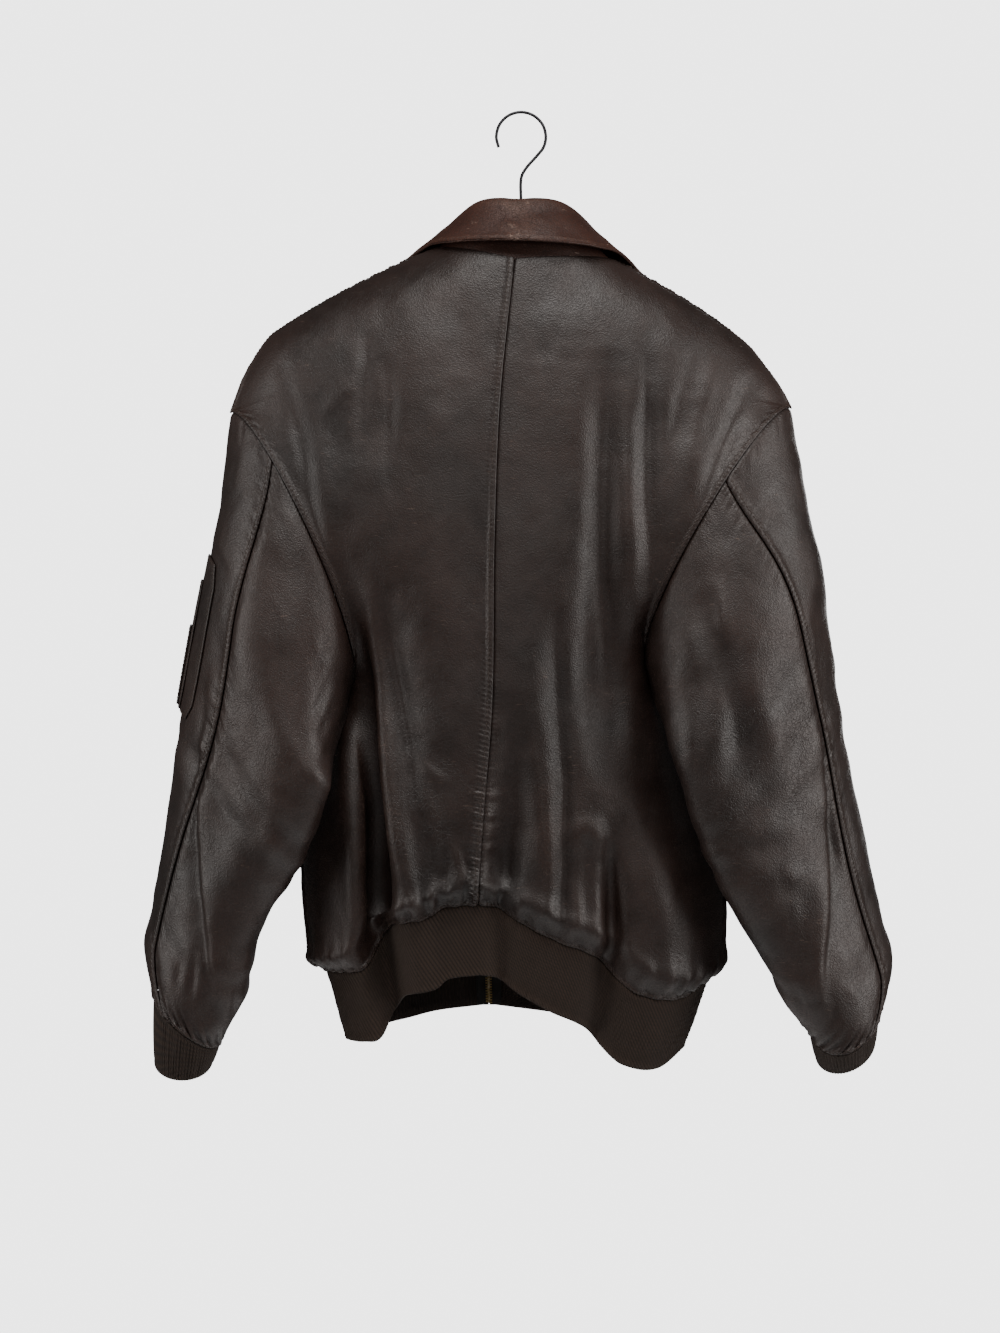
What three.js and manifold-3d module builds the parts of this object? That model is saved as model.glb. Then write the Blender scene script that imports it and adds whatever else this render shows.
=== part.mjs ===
// A worn leather blouson on a hanger.
// Millimetres. +X is the wearer's right, +Y the front and +Z up.
// The origin is the inside top of the hook's loop, where the hanger rests on a rail.
import * as THREE from 'three';
import { mergeVertices } from 'three/addons/utils/BufferGeometryUtils.js';
import Module from 'manifold-3d';

// Cloth thickness and seams
const leather = 1.6;
const ribKnit = 2;
const collarLeaf = 2.2;
const zipTape = 1.2;
const seamGap = 0.3;
const wideGap = 0.9;
const underarmGap = 1.5;

// Heights of the back's and the front's centre lines, neck to hem
const backTop = -147;
const backHem = -745;
const frontTop = -205;
const frontHem = -788;

// Rows of a body half: the shoulder seam, then the armhole, then the side seam
const tipRow = 0.26;
const underarmRow = 0.6;

// Bands, zip and hanger
const bandHeight = 66;
const bandTaperX = 0.88;
const bandTaperY = 0.93;
const zipHalfGap = 6.5;
const zipHalfWidth = 13;
const blouseOut = 7;
const gatherHeight = 1.8;
const backGathers = 12;
const frontGathers = 4;
const barRadius = 8;
const hookWire = 1.5;
const hookLoop = 22;

// Sleeves: how far the armhole bows inwards, and half the sleeve's depth from shoulder to cuff
const armholeBow = 24;
const sleeveHalfDepths = [[0, 68], [0.15, 64], [0.4, 50], [0.7, 46], [1, 42]];

// Slider and pull tab
const sliderRow = 0.06;
const sliderWide = 10;
const sliderTall = 15;
const sliderThick = 2.4;
const bridgeWide = 3;
const bridgeTall = 10;
const bridgeHigh = 3.2;
const bridgeBar = 1.4;
const pinAbove = 1.6;
const tabThick = 1;
const tabHalf = 4.5;
const tabLong = 34;
const barHalf = 0.6;
const windowLong = 9;

// Sleeve pocket
const pocketHide = 1.4;

const kernel = await Module();
kernel.setup();
const { Manifold, Mesh } = kernel;
const { lerp, clamp, smoothstep, degToRad } = THREE.MathUtils;
const point = (x, y, z) => new THREE.Vector3(x, y, z);
const gauss = (t) => Math.exp(-t * t);

// A smooth function through a few [position, value] pairs, level past the ends.
function through(pairs) {
  const last = pairs.length - 1;
  const slopes = pairs.map((pair, i) => {
    const before = pairs[Math.max(i - 1, 0)];
    const after = pairs[Math.min(i + 1, last)];
    return (after[1] - before[1]) / (after[0] - before[0]);
  });
  return (at) => {
    if (at <= pairs[0][0]) return pairs[0][1];
    if (at >= pairs[last][0]) return pairs[last][1];
    const i = pairs.findIndex((pair) => pair[0] > at) - 1;
    const [x0, y0] = pairs[i];
    const [x1, y1] = pairs[i + 1];
    const width = x1 - x0;
    const t = (at - x0) / width;
    const rise = t * t * (3 - 2 * t);
    const start = t * (1 - t) * (1 - t) * width * slopes[i];
    const end = t * t * (t - 1) * width * slopes[i + 1];
    return y0 + (y1 - y0) * rise + start + end;
  };
}

function curve(...places) {
  return new THREE.CatmullRomCurve3(places.map((place) => point(...place)));
}

// The two sides differ: the jacket hangs a little turned.
const left = {
  name: 'left',
  sign: -1,
  neck: point(-83, 0, -129),
  tip: point(-275.5, 0, -285),
  ridge: through([[-275.5, -285], [-263, -252], [-246, -224], [-234, -210], [-167, -170], [-83, -129]]),
  sideSeam: curve([-160, 0, -540], [-172, 6, -566], [-191, 14, -604], [-203, 16, -650], [-208, 13, -700],
    [-207, 10, -747], [-200, 7, -794], [-190, 5, -813]),
  backHem: through([[0, backHem], [0.23, -749], [0.32, -758], [0.55, -767], [0.64, -784], [0.73, -807],
    [0.86, -812], [1, -813]]),
  frontHem: through([[0, frontHem], [0.5, -796], [1, -813]]),
  outerEdge: curve([-275.5, 0, -285], [-283, 4, -345], [-293, 10, -419], [-308, 20, -495], [-322, 32, -572],
    [-332, 40, -652], [-343, 40, -728], [-354, 34, -794], [-360, 26, -832]),
  innerEdge: curve([-160, 0, -540], [-172, -20, -556], [-178, -58, -597], [-181, -80, -642],
    [-203, -67, -699], [-240, -50, -756], [-259, -40, -804], [-270, -30, -868]),
  sleeveSeam: through([[0, 56], [0.25, 70], [0.45, 77], [0.75, 72], [1, 62]]),
  cuffTop: { centre: point(-317, -1, -858), across: 30, deep: 40, slant: 24, dip: 10 },
  cuffEnd: { centre: point(-322, 10, -902), across: 26, deep: 38, slant: 2, dip: 12 },
};
const right = {
  name: 'right',
  sign: 1,
  neck: point(88, 0, -140),
  tip: point(256.5, 0, -281),
  ridge: through([[88, -140], [161, -182], [213, -220], [232, -243], [246, -262], [256.5, -281]]),
  sideSeam: curve([118, 0, -520], [132, 7, -552], [155, 14, -600], [174, 16, -650], [188, 14, -700],
    [195, 11, -750], [192, 8, -794], [183, 5, -821]),
  backHem: through([[0, backHem], [0.09, -749], [0.19, -763], [0.34, -780], [0.5, -795], [0.6, -817],
    [0.69, -831], [0.86, -836], [1, -821]]),
  frontHem: through([[0, frontHem], [0.5, -800], [1, -821]]),
  outerEdge: curve([256.5, 0, -281], [266, 4, -340], [279, 10, -405], [293, 20, -500], [311, 34, -614],
    [330, 40, -709], [345, 37, -775], [351, 32, -815], [348, 26, -838]),
  innerEdge: curve([118, 0, -520], [131, -20, -537], [136, -58, -572], [144, -80, -616], [164, -75, -676],
    [193, -65, -742], [222, -50, -790], [243, -42, -828], [260, -32, -866]),
  sleeveSeam: through([[0, 72], [0.25, 66], [0.5, 62], [0.75, 64], [1, 60]]),
  cuffTop: { centre: point(306, -1, -852), across: 32, deep: 42, slant: 12, dip: 34 },
  cuffEnd: { centre: point(310, 16, -890), across: 27, deep: 38, slant: 10, dip: 16 },
};

// Large folds of the back: a line down it, how far it sinks, and half its width.
const backFolds = [
  { line: through([[-768, -134], [-704, -138], [-636, -145], [-556, -154], [-501, -163], [-427, -173]]),
    sink: through([[-768, 34], [-704, 28], [-636, 19], [-556, 11], [-480, 6], [-410, 0]]), width: 13 },
  { line: through([[-768, -104], [-636, -116], [-501, -132]]),
    sink: through([[-768, -7], [-690, -8], [-600, -6], [-480, 0]]), width: 17 },
  { line: through([[-520, -199], [-450, -206], [-392, -212], [-340, -228]]),
    sink: through([[-500, 0], [-440, 6], [-370, 7], [-320, 0]]), width: 12 },
  { line: through([[-550, 72], [-430, 74], [-300, 77]]),
    sink: through([[-640, 0], [-540, 8], [-430, 10], [-310, 6], [-230, 0]]), width: 16 },
  { line: through([[-440, 118], [-330, 113]]),
    sink: through([[-470, 0], [-400, 6], [-330, 6], [-260, 0]]), width: 12 },
  { line: through([[-440, 166], [-370, 182], [-290, 200]]),
    sink: through([[-460, 0], [-400, 8], [-340, 6], [-280, 0]]), width: 13 },
  { line: through([[-760, -18], [-640, -18]]),
    sink: through([[-740, 9], [-690, 9], [-600, 0]]), width: 13 },
  { line: through([[-800, 82], [-720, 84], [-640, 86]]),
    sink: through([[-790, 15], [-740, 11], [-660, 0]]), width: 12 },
  { line: through([[-830, 140], [-700, 130]]),
    sink: through([[-830, -10], [-740, -9], [-640, 0]]), width: 30 },
];
const frontFolds = [
  { line: through([[-790, -120], [-500, -128]]),
    sink: through([[-790, 14], [-650, 8], [-430, 0]]), width: 20 },
  { line: through([[-790, 92], [-500, 84]]),
    sink: through([[-790, 13], [-650, 8], [-420, 0]]), width: 20 },
];

function sunk(folds, x, z) {
  return folds.reduce((sum, fold) => sum + fold.sink(z) * gauss((x - fold.line(z)) / fold.width), 0);
}

const back = {
  toward: -1,
  folds: backFolds,
  hem: 'backHem',
  gathers: backGathers,
  height: through([[0, backTop], [tipRow, -280], [underarmRow, -531], [1, backHem]]),
  depth: through([[-745, -76], [-650, -86], [-500, -90], [-350, -88], [-250, -82], [-190, -75], [-147, -68]]),
  middle: through([[-745, -41], [-656, -34.5], [-556, -27], [-409, -25], [-281, -20], [-147, -6.5]]),
  edgeGap: 0,
};
const front = {
  toward: 1,
  folds: frontFolds,
  hem: 'frontHem',
  gathers: frontGathers,
  height: through([[0, frontTop], [tipRow, -306], [underarmRow, -535], [1, frontHem]]),
  depth: through([[-788, 74], [-650, 84], [-450, 87], [-300, 83], [-205, 72]]),
  middle: through([[-788, -32], [-205, 0]]),
  edgeGap: zipHalfGap,
};

const sleeveDepth = through(sleeveHalfDepths);

// Sleeve columns: 0 at the outer edge, 10 at the inner edge, back half first; 4 and 14 are its seams.
const backSeamColumn = 4;
const innerColumn = 10;
const frontSeamColumn = 14;
const allColumns = 20;

function sleeveAngle(side, column, along) {
  const at = ((column % allColumns) + allColumns) % allColumns;
  const seam = side.sleeveSeam(along);
  if (at <= backSeamColumn) return degToRad(seam * at / backSeamColumn);
  if (at >= innerColumn) return degToRad(18 * at);
  return degToRad(lerp(seam, 180, (at - backSeamColumn) / (innerColumn - backSeamColumn)));
}

// Soft hollows down the sleeves: the angle at their middle, how far they sink, and half their width.
const sleeveFolds = {
  left: [
    { line: through([[0.2, 128], [0.55, 118]]), sink: through([[0.12, 0], [0.3, 5], [0.5, 0]]), width: 26 },
    { line: through([[0.5, 96], [0.9, 112]]), sink: through([[0.42, 0], [0.65, 6], [0.86, 0]]), width: 22 },
  ],
  right: [
    { line: through([[0.2, 132], [0.6, 112]]), sink: through([[0.1, 0], [0.32, 8], [0.62, 0]]), width: 26 },
    { line: through([[0.5, 84], [0.9, 76]]), sink: through([[0.5, 0], [0.72, 6], [0.92, 0]]), width: 20 },
  ],
};

function cuffRing(ring, side, angle) {
  return point(
    ring.centre.x + side.sign * ring.across * Math.cos(angle),
    ring.centre.y - ring.deep * Math.sin(angle),
    ring.centre.z + ring.slant * Math.cos(angle) - ring.dip * Math.sin(angle),
  );
}

function sleevePlace(side, angle, along) {
  const outer = side.outerEdge.getPointAt(along);
  const inner = side.innerEdge.getPointAt(along);
  const centre = outer.clone().add(inner).multiplyScalar(0.5);
  const half = outer.clone().sub(inner).multiplyScalar(0.5);
  const unit = half.clone().normalize();
  const backward = point(0, -1, 0).addScaledVector(unit, unit.y).normalize();
  const deep = sleeveDepth(along);
  const offset = half.clone().multiplyScalar(Math.cos(angle));
  offset.addScaledVector(backward, deep * Math.sin(angle));
  const place = centre.clone().add(offset);
  const degrees = angle * 180 / Math.PI;
  const sink = sleeveFolds[side.name]
    .reduce((sum, fold) => sum + fold.sink(along) * gauss((degrees - fold.line(along)) / fold.width), 0);
  place.addScaledVector(offset.normalize(), -sink);
  const bow = armholeBow * (1 - smoothstep(along, 0, 0.3)) * Math.abs(Math.sin(angle));
  place.x -= side.sign * bow * Math.abs(unit.z);
  place.z += bow * Math.abs(unit.x);
  place.z -= side.cuffTop.dip * Math.sin(angle) * smoothstep(along, 0.5, 0.95);
  const gathered = smoothstep(along, 0.9, 1);
  return place.lerp(cuffRing(side.cuffTop, side, angle), gathered);
}

// The outer end of a body row, on the shoulder seam, the armhole or the side seam.
function rowEnd(side, face, row) {
  if (row <= tipRow) {
    const x = lerp(side.neck.x, side.tip.x, row / tipRow);
    return point(x, 0, side.ridge(x));
  }
  if (row <= underarmRow) {
    const column = innerColumn * (row - tipRow) / (underarmRow - tipRow);
    const angle = face === back ? sleeveAngle(side, column, 0) : -degToRad(18 * column);
    return sleevePlace(side, angle, 0);
  }
  return side.sideSeam.getPoint((row - underarmRow) / (1 - underarmRow));
}

// How far a row turns from the centre line to its outer end, in degrees.
const rowSpread = through([[0, 90], [0.2, 90], [tipRow, 84], [0.34, 58], [0.44, 50], [0.54, 52],
  [underarmRow, 60], [0.7, 74], [1, 80]]);

// The shoulder tip is a corner of the panel's edge; the cloth inside it turns softly.
function softEnd(side, face, row, share) {
  const end = rowEnd(side, face, row);
  const steps = [-0.08, -0.05, -0.025, 0, 0.025, 0.05, 0.08];
  const mean = point(0, 0, 0);
  for (const step of steps) {
    mean.addScaledVector(rowEnd(side, face, clamp(row + step, 0, 1)), 1 / steps.length);
  }
  return end.lerp(mean, gauss((row - tipRow) / 0.11) * (1 - share ** 5));
}

function bodyPlace(side, face, across, row) {
  const z = face.height(row);
  const middle = point(face.middle(z) + side.sign * face.edgeGap, face.depth(z), z);
  const spread = degToRad(rowSpread(row));
  const share = Math.sin(across * spread) / Math.sin(spread);
  const end = softEnd(side, face, row, share);
  const bulge = (Math.cos(across * spread) - Math.cos(spread)) / (1 - Math.cos(spread));
  const place = middle.clone().lerp(end, share).setY(lerp(end.y, middle.y, bulge));
  const low = clamp((row - underarmRow) / (1 - underarmRow), 0, 1);
  const hem = side[face.hem](share) - lerp(side[face.hem](0), side[face.hem](1), share);
  place.z += hem * low ** 1.6;
  const held = smoothstep(row, 0.02, 0.12) * smoothstep(1 - across, 0, 0.22);
  place.y -= face.toward * sunk(face.folds, place.x, place.z) * held;
  const above = (1 - low) * 275;
  const out = blouseOut * (gauss((above - 24) / 17) - 0.8 * gauss(above / 11));
  const wave = Math.sin(2 * Math.PI * face.gathers * across) * (above / 10) * Math.exp(1 - above / 10);
  const swell = out + gatherHeight * wave;
  place.x += side.sign * swell * Math.sin(across * Math.PI / 2);
  place.y += face.toward * swell * Math.cos(across * Math.PI / 2);
  return place;
}

// A sheet is rows of points on the middle of the cloth, each with its normal away from the inside.
function sheet(place, rows, columnsOf, inside) {
  const step = 1e-3;
  const made = rows.map((row) => columnsOf(row).map((column) => {
    const side = place(column + step, row).sub(place(column - step, row));
    const down = place(column, Math.min(row + step, 1)).sub(place(column, Math.max(row - step, 0)));
    return { column, at: place(column, row), normal: side.cross(down).normalize() };
  }));
  const middleRow = made[Math.floor(rows.length / 2)];
  const sample = middleRow[Math.floor(middleRow.length / 2)];
  const outward = sample.at.clone().sub(inside(rows[Math.floor(rows.length / 2)], sample.at));
  if (outward.dot(sample.normal) < 0) {
    for (const spot of made.flat()) spot.normal.negate();
  }
  return made;
}

// An edge lists each point with its neighbour in the same cloth.
const startEdge = (rows, from, to) => rows.slice(from, to + 1).map((row) => [row[0], row[1]]);
const endEdge = (rows, from, to) => rows.slice(from, to + 1).map((row) => [row.at(-1), row.at(-2)]);
const topEdge = (rows) => rows[0].map((spot, i) => [spot, rows[1][i]]);
const bottomEdge = (rows) => rows.at(-1).map((spot, i) => [spot, rows.at(-2)[i]]);

// Two edges sewn together share their normals and stand the seam gap apart.
function sew(edgeA, edgeB, agree = 1, gap = seamGap) {
  edgeA.forEach(([a, besideA], i) => {
    const [b, besideB] = edgeB[i];
    const shared = a.normal.clone().addScaledVector(b.normal, agree).normalize();
    const inward = [besideA.at.clone().sub(a.at), besideB.at.clone().sub(b.at)];
    [a, b].forEach((spot, k) => {
      spot.normal.copy(shared).multiplyScalar(k ? agree : 1);
      const move = inward[k].addScaledVector(shared, -inward[k].dot(shared));
      spot.at.addScaledVector(move.normalize(), gap / 2);
    });
  });
}

// A closed wall about a sheet. Rows may hold different numbers of points.
function wall(rows, thickness, isTube = false) {
  const places = [];
  const faces = [];
  const bases = rows.map((row) => {
    const base = places.length / 3;
    for (const sign of [1, -1]) {
      for (const spot of row) {
        const at = spot.at.clone().addScaledVector(spot.normal, sign * thickness / 2);
        places.push(at.x, at.y, at.z);
      }
    }
    return base;
  });
  const outer = (r, i) => bases[r] + (isTube ? i % rows[r].length : i);
  const inner = (r, i) => outer(r, i) + rows[r].length;
  const column = (r, i) => (i < rows[r].length ? rows[r][i].column : rows[r][0].column + allColumns);
  const spans = rows.map((row) => row.length - (isTube ? 0 : 1));
  const put = (r, i, q, j, t, k) => {
    faces.push(outer(r, i), outer(q, j), outer(t, k));
    faces.push(inner(r, i), inner(t, k), inner(q, j));
  };
  for (let r = 0; r + 1 < rows.length; r += 1) {
    let i = 0;
    let j = 0;
    while (i < spans[r] || j < spans[r + 1]) {
      const stepUpper = j === spans[r + 1]
        || (i < spans[r] && column(r, i + 1) + column(r, i) <= column(r + 1, j + 1) + column(r + 1, j));
      if (stepUpper) {
        put(r, i, r, i + 1, r + 1, j);
        i += 1;
      } else {
        put(r, i, r + 1, j + 1, r + 1, j);
        j += 1;
      }
    }
  }
  const rim = (r, i, q, j) => {
    faces.push(outer(q, j), outer(r, i), inner(r, i));
    faces.push(outer(q, j), inner(r, i), inner(q, j));
  };
  const end = rows.length - 1;
  for (let i = 0; i < spans[0]; i += 1) rim(0, i, 0, i + 1);
  for (let i = spans[end]; i > 0; i -= 1) rim(end, i, end, i - 1);
  if (!isTube) {
    for (let r = 0; r < end; r += 1) rim(r, rows[r].length - 1, r + 1, rows[r + 1].length - 1);
    for (let r = end; r > 0; r -= 1) rim(r, 0, r - 1, 0);
  }
  return closed(places, faces);
}

// A solid through rings with the same number of points, closed at both ends.
function loft(rings) {
  const count = rings[0].length;
  const places = rings.flat().flatMap((at) => [at.x, at.y, at.z]);
  const faces = [];
  for (let r = 0; r + 1 < rings.length; r += 1) {
    for (let i = 0; i < count; i += 1) {
      const next = (i + 1) % count;
      faces.push(r * count + i, r * count + next, (r + 1) * count + next);
      faces.push(r * count + i, (r + 1) * count + next, (r + 1) * count + i);
    }
  }
  const far = (rings.length - 1) * count;
  for (let i = 1; i + 1 < count; i += 1) {
    faces.push(0, i + 1, i);
    faces.push(far, far + i, far + i + 1);
  }
  return closed(places, faces);
}

function closed(places, faces) {
  let volume = 0;
  const corner = (i) => point(places[3 * i], places[3 * i + 1], places[3 * i + 2]);
  for (let f = 0; f < faces.length; f += 3) {
    volume += corner(faces[f]).dot(corner(faces[f + 1]).cross(corner(faces[f + 2])));
  }
  const turned = faces.map((_, i) => faces[i % 3 ? i + 3 - 2 * (i % 3) : i]);
  const index = volume > 0 ? faces : turned;
  const shape = new THREE.BufferGeometry();
  shape.setAttribute('position', new THREE.Float32BufferAttribute(places, 3));
  shape.setIndex(index);
  shape.computeVertexNormals();
  return shape;
}

const finishes = {
  hide: new THREE.MeshStandardMaterial({ color: 0x3d2f2a, roughness: 0.5 }),
  collarHide: new THREE.MeshStandardMaterial({ color: 0x4d3730, roughness: 0.55 }),
  knit: new THREE.MeshStandardMaterial({ color: 0x2a201c, roughness: 0.9 }),
  tape: new THREE.MeshStandardMaterial({ color: 0x201a18, roughness: 0.9 }),
  brass: new THREE.MeshStandardMaterial({ color: 0x8a7440, roughness: 0.4, metalness: 1 }),
  steel: new THREE.MeshStandardMaterial({ color: 0x3c3d40, roughness: 0.4, metalness: 1 }),
  plastic: new THREE.MeshStandardMaterial({ color: 0x242526, roughness: 0.6 }),
};
const jacket = new THREE.Group();
function add(name, shape, finish) {
  const mesh = new THREE.Mesh(shape, finishes[finish]);
  mesh.name = name;
  jacket.add(mesh);
}

// Body panels
const shoulderRows = [0, 0.035, 0.075, 0.12, 0.165, 0.2, 0.232];
const armholeRows = Array.from({ length: 11 }, (_, i) => lerp(tipRow, underarmRow, i / 10));
const sideRows = [0.645, 0.695, 0.745, 0.8, 0.855, 0.905];
const hemRows = [0.94, 0.963, 0.982, 1];
const bodyRows = [...shoulderRows, ...armholeRows, ...sideRows, ...hemRows];
const tipAt = shoulderRows.length;
const underarmAt = tipAt + 10;
const hemAt = bodyRows.length - 1;
const evenly = (count) => Array.from({ length: count + 1 }, (_, i) => i / count);

function bodyColumns(counts) {
  return (row) => {
    if (row < 0.06) return evenly(counts.neck);
    if (row < 0.2) return evenly(counts.shoulder);
    return evenly(row < 0.93 ? counts.body : counts.hem);
  };
}
const backCounts = bodyColumns({ neck: 8, shoulder: 12, body: 18, hem: 48 });
const frontCounts = bodyColumns({ neck: 5, shoulder: 6, body: 8, hem: 16 });
const sides = [left, right];
const bodyInside = (row, at) => point(-20, 0, at.z);
for (const side of sides) {
  side.back = sheet((s, v) => bodyPlace(side, back, s, v), bodyRows, backCounts, bodyInside);
  side.front = sheet((s, v) => bodyPlace(side, front, s, v), bodyRows, frontCounts, bodyInside);
}

// Sleeves
const sleeveRows = [0, 0.05, 0.11, 0.18, 0.26, 0.34, 0.42, 0.5, 0.58, 0.66, 0.74, 0.82, 0.89, 0.95, 1];
const whole = (from, to) => Array.from({ length: to - from + 1 }, (_, i) => from + i);
for (const side of sides) {
  const place = (column, along) => sleevePlace(side, sleeveAngle(side, column, along), along);
  const inside = (along) => side.outerEdge.getPointAt(along).lerp(side.innerEdge.getPointAt(along), 0.5);
  side.under = sheet(place, sleeveRows, () => whole(backSeamColumn, frontSeamColumn), inside);
  side.top = sheet(place, sleeveRows, () => whole(frontSeamColumn, allColumns + backSeamColumn), inside);
  const cuffPlace = (column, along) => {
    const angle = sleeveAngle(side, column, 1);
    const swell = 0.8 * Math.sin(Math.PI * along);
    const from = cuffRing(side.cuffTop, side, angle);
    const to = cuffRing(side.cuffEnd, side, angle);
    return from.lerp(to, along).add(point(side.sign * swell * Math.cos(angle), -swell * Math.sin(angle), 0));
  };
  const cuffInside = (along) => side.cuffTop.centre.clone().lerp(side.cuffEnd.centre, along);
  side.cuff = sheet(cuffPlace, [0.024, 0.33, 0.67, 1], () => whole(0, allColumns - 1), cuffInside);
}

// Neck chain, from the left front edge round the back to the right front edge
function chain(row) {
  const leftFront = left.front.at(row);
  const leftBack = left.back.at(row).slice(0, -1).reverse();
  const rightBack = right.back.at(row).slice(1);
  const rightFront = right.front.at(row).slice(0, -1).reverse();
  return [...leftFront, ...leftBack, ...rightBack, ...rightFront].map((spot) => spot.at.clone());
}
const neckLine = chain(0);
const hemLine = chain(-1);

// Collar: a stand on the neck line, and a fall from its fold line to an outer edge, left front to right
const overFront = (side, across, row, lift) => {
  const beside = bodyPlace(side, front, across + 0.01, row).sub(bodyPlace(side, front, across - 0.01, row));
  const below = bodyPlace(side, front, across, row + 0.01).sub(bodyPlace(side, front, across, row - 0.01));
  const normal = beside.cross(below).normalize();
  if (normal.y < 0) normal.negate();
  return bodyPlace(side, front, across, row).addScaledVector(normal, lift);
};
const fallEdge = new THREE.CatmullRomCurve3([
  overFront(left, 0.27, 0.15, 6), overFront(left, 0.5, 0.125, 6), overFront(left, 0.78, 0.085, 6),
  point(-103, -14, -132), point(-66, -60, -131),
  point(1, -82, -133),
  point(68, -60, -135), point(106, -14, -139),
  overFront(right, 0.78, 0.085, 6), overFront(right, 0.5, 0.125, 6), overFront(right, 0.27, 0.15, 6),
]);
const neckCurve = new THREE.CatmullRomCurve3(neckLine);
const neckCount = neckLine.length - 1;
const neckAxis = (at) => point(2, 4, at.z).sub(at).setZ(0).normalize();
const standHeight = through([[0, 56], [0.2, 53], [0.4, 41], [0.615, 23], [0.8, 28], [1, 33]]);
const standLean = 13;
function foldAt(share) {
  const at = neckCurve.getPoint(share);
  at.z += standHeight(Math.abs(2 * share - 1));
  return at.addScaledVector(neckAxis(at), standLean);
}
function foldInside(share) {
  const at = foldAt(share);
  return at.addScaledVector(neckAxis(at), 4.5).add(point(0, 0, -4));
}
function standPlace(column, up) {
  const share = clamp(column / neckCount, 0, 1);
  const low = neckCurve.getPoint(share);
  const high = foldInside(share);
  const place = low.lerp(high, up);
  place.z += 0.2 * (1 - up);
  return place.addScaledVector(neckAxis(place), -2 * Math.sin(Math.PI * up));
}
function fallPlace(column, down) {
  const share = clamp(column / neckCount, 0, 1);
  const fold = foldAt(share);
  const edge = fallEdge.getPoint(share);
  const away = neckAxis(fold).negate();
  const swell = lerp(4, 13, Math.abs(2 * share - 1) ** 4);
  const section = new THREE.CatmullRomCurve3([
    foldInside(share),
    fold.clone().addScaledVector(away, -2.6).add(point(0, 0, 0.5)),
    fold.clone().addScaledVector(away, 1.6).add(point(0, 0, 0.4)),
    fold.clone().lerp(edge, 0.3).addScaledVector(away, swell),
    fold.clone().lerp(edge, 0.65).addScaledVector(away, 0.75 * swell),
    edge,
  ]);
  return section.getPoint(down);
}
const neckColumns = () => whole(0, neckCount);
const neckInside = (row, at) => point(2, 4, at.z);
const stand = sheet(standPlace, [0, 0.5, 1], neckColumns, neckInside);
const fall = sheet(fallPlace, [0, 0.2, 0.4, 0.6, 0.8, 1], neckColumns, neckInside);

// Waistband, hung from the hem
const hemCurve = new THREE.CatmullRomCurve3(hemLine);
const hemCount = hemLine.length - 1;
const bandCentre = point(-20, 0, 0);
function bandPlace(column, down) {
  const place = hemCurve.getPoint(clamp(column / hemCount, 0, 1));
  const swell = 2.5 * Math.sin(Math.PI * down);
  const taperX = lerp(1, bandTaperX, down);
  const taperY = lerp(1, bandTaperY, down);
  const sideways = place.x - bandCentre.x;
  place.x = bandCentre.x + sideways * taperX + swell * Math.sign(sideways) * 0.3;
  place.y *= taperY;
  place.z -= 0.3 + bandHeight * down;
  return place;
}
const bandColumns = (down) => (down === 0 || down < 0.2
  ? whole(0, hemCount)
  : whole(0, hemCount).filter((column) => column % 2 === 0));
const band = sheet(bandPlace, [0, 0.12, 0.42, 0.72, 1], bandColumns, bodyInside);

// Seams
sew(startEdge(left.back, 0, hemAt), startEdge(right.back, 0, hemAt));
for (const side of sides) {
  sew(endEdge(side.back, 0, tipAt), endEdge(side.front, 0, tipAt));
  sew(endEdge(side.back, underarmAt, hemAt), endEdge(side.front, underarmAt, hemAt));
  const topOpening = topEdge(side.top);
  const underOpening = topEdge(side.under);
  const backHole = endEdge(side.back, tipAt, underarmAt);
  const frontHole = endEdge(side.front, tipAt, underarmAt).reverse();
  const underBack = innerColumn - backSeamColumn;
  const underFront = frontSeamColumn - innerColumn;
  sew(backHole.slice(0, backSeamColumn + 1), topOpening.slice(allColumns - frontSeamColumn));
  sew(frontHole.slice(underFront), topOpening.slice(0, allColumns - frontSeamColumn + 1));
  sew(backHole.slice(backSeamColumn), underOpening.slice(0, underBack + 1), 1, underarmGap);
  sew(frontHole.slice(0, underFront + 1), underOpening.slice(underBack), 1, 1.4 * underarmGap);
  const cuffEdge = topEdge(side.cuff);
  const sleeveEnds = [
    ...bottomEdge(side.under).map((pair, i) => [pair, backSeamColumn + i]),
    ...bottomEdge(side.top).map((pair, i) => [pair, frontSeamColumn + i]),
  ];
  for (const [pair, column] of sleeveEnds) sew([pair], [cuffEdge[column % allColumns]], 1, wideGap);
  const lastRow = sleeveRows.length - 1;
  sew(startEdge(side.under, 0, lastRow), endEdge(side.top, 0, lastRow), 1, wideGap);
  sew(endEdge(side.under, 0, lastRow), startEdge(side.top, 0, lastRow), 1, wideGap);
}
function edgeChain(edgeOf) {
  return [
    ...edgeOf(left.front),
    ...edgeOf(left.back).slice(0, -1).reverse(),
    ...edgeOf(right.back).slice(1),
    ...edgeOf(right.front).slice(0, -1).reverse(),
  ];
}
sew(edgeChain(topEdge), topEdge(stand));
sew(bottomEdge(stand), topEdge(fall), -1);
sew(edgeChain(bottomEdge), topEdge(band));

for (const side of sides) {
  add(`back_${side.name}`, wall(side.back, leather), 'hide');
  add(`front_${side.name}`, wall(side.front, leather), 'hide');
  add(`sleeve_top_${side.name}`, wall(side.top, leather), 'hide');
  add(`sleeve_under_${side.name}`, wall(side.under, leather), 'hide');
  add(`cuff_${side.name}`, wall(side.cuff, ribKnit, true), 'knit');
}
add('waistband', wall(band, ribKnit), 'knit');
add('collar_stand', wall(stand, leather), 'collarHide');
add('collar_fall', wall(fall, collarLeaf), 'collarHide');

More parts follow.
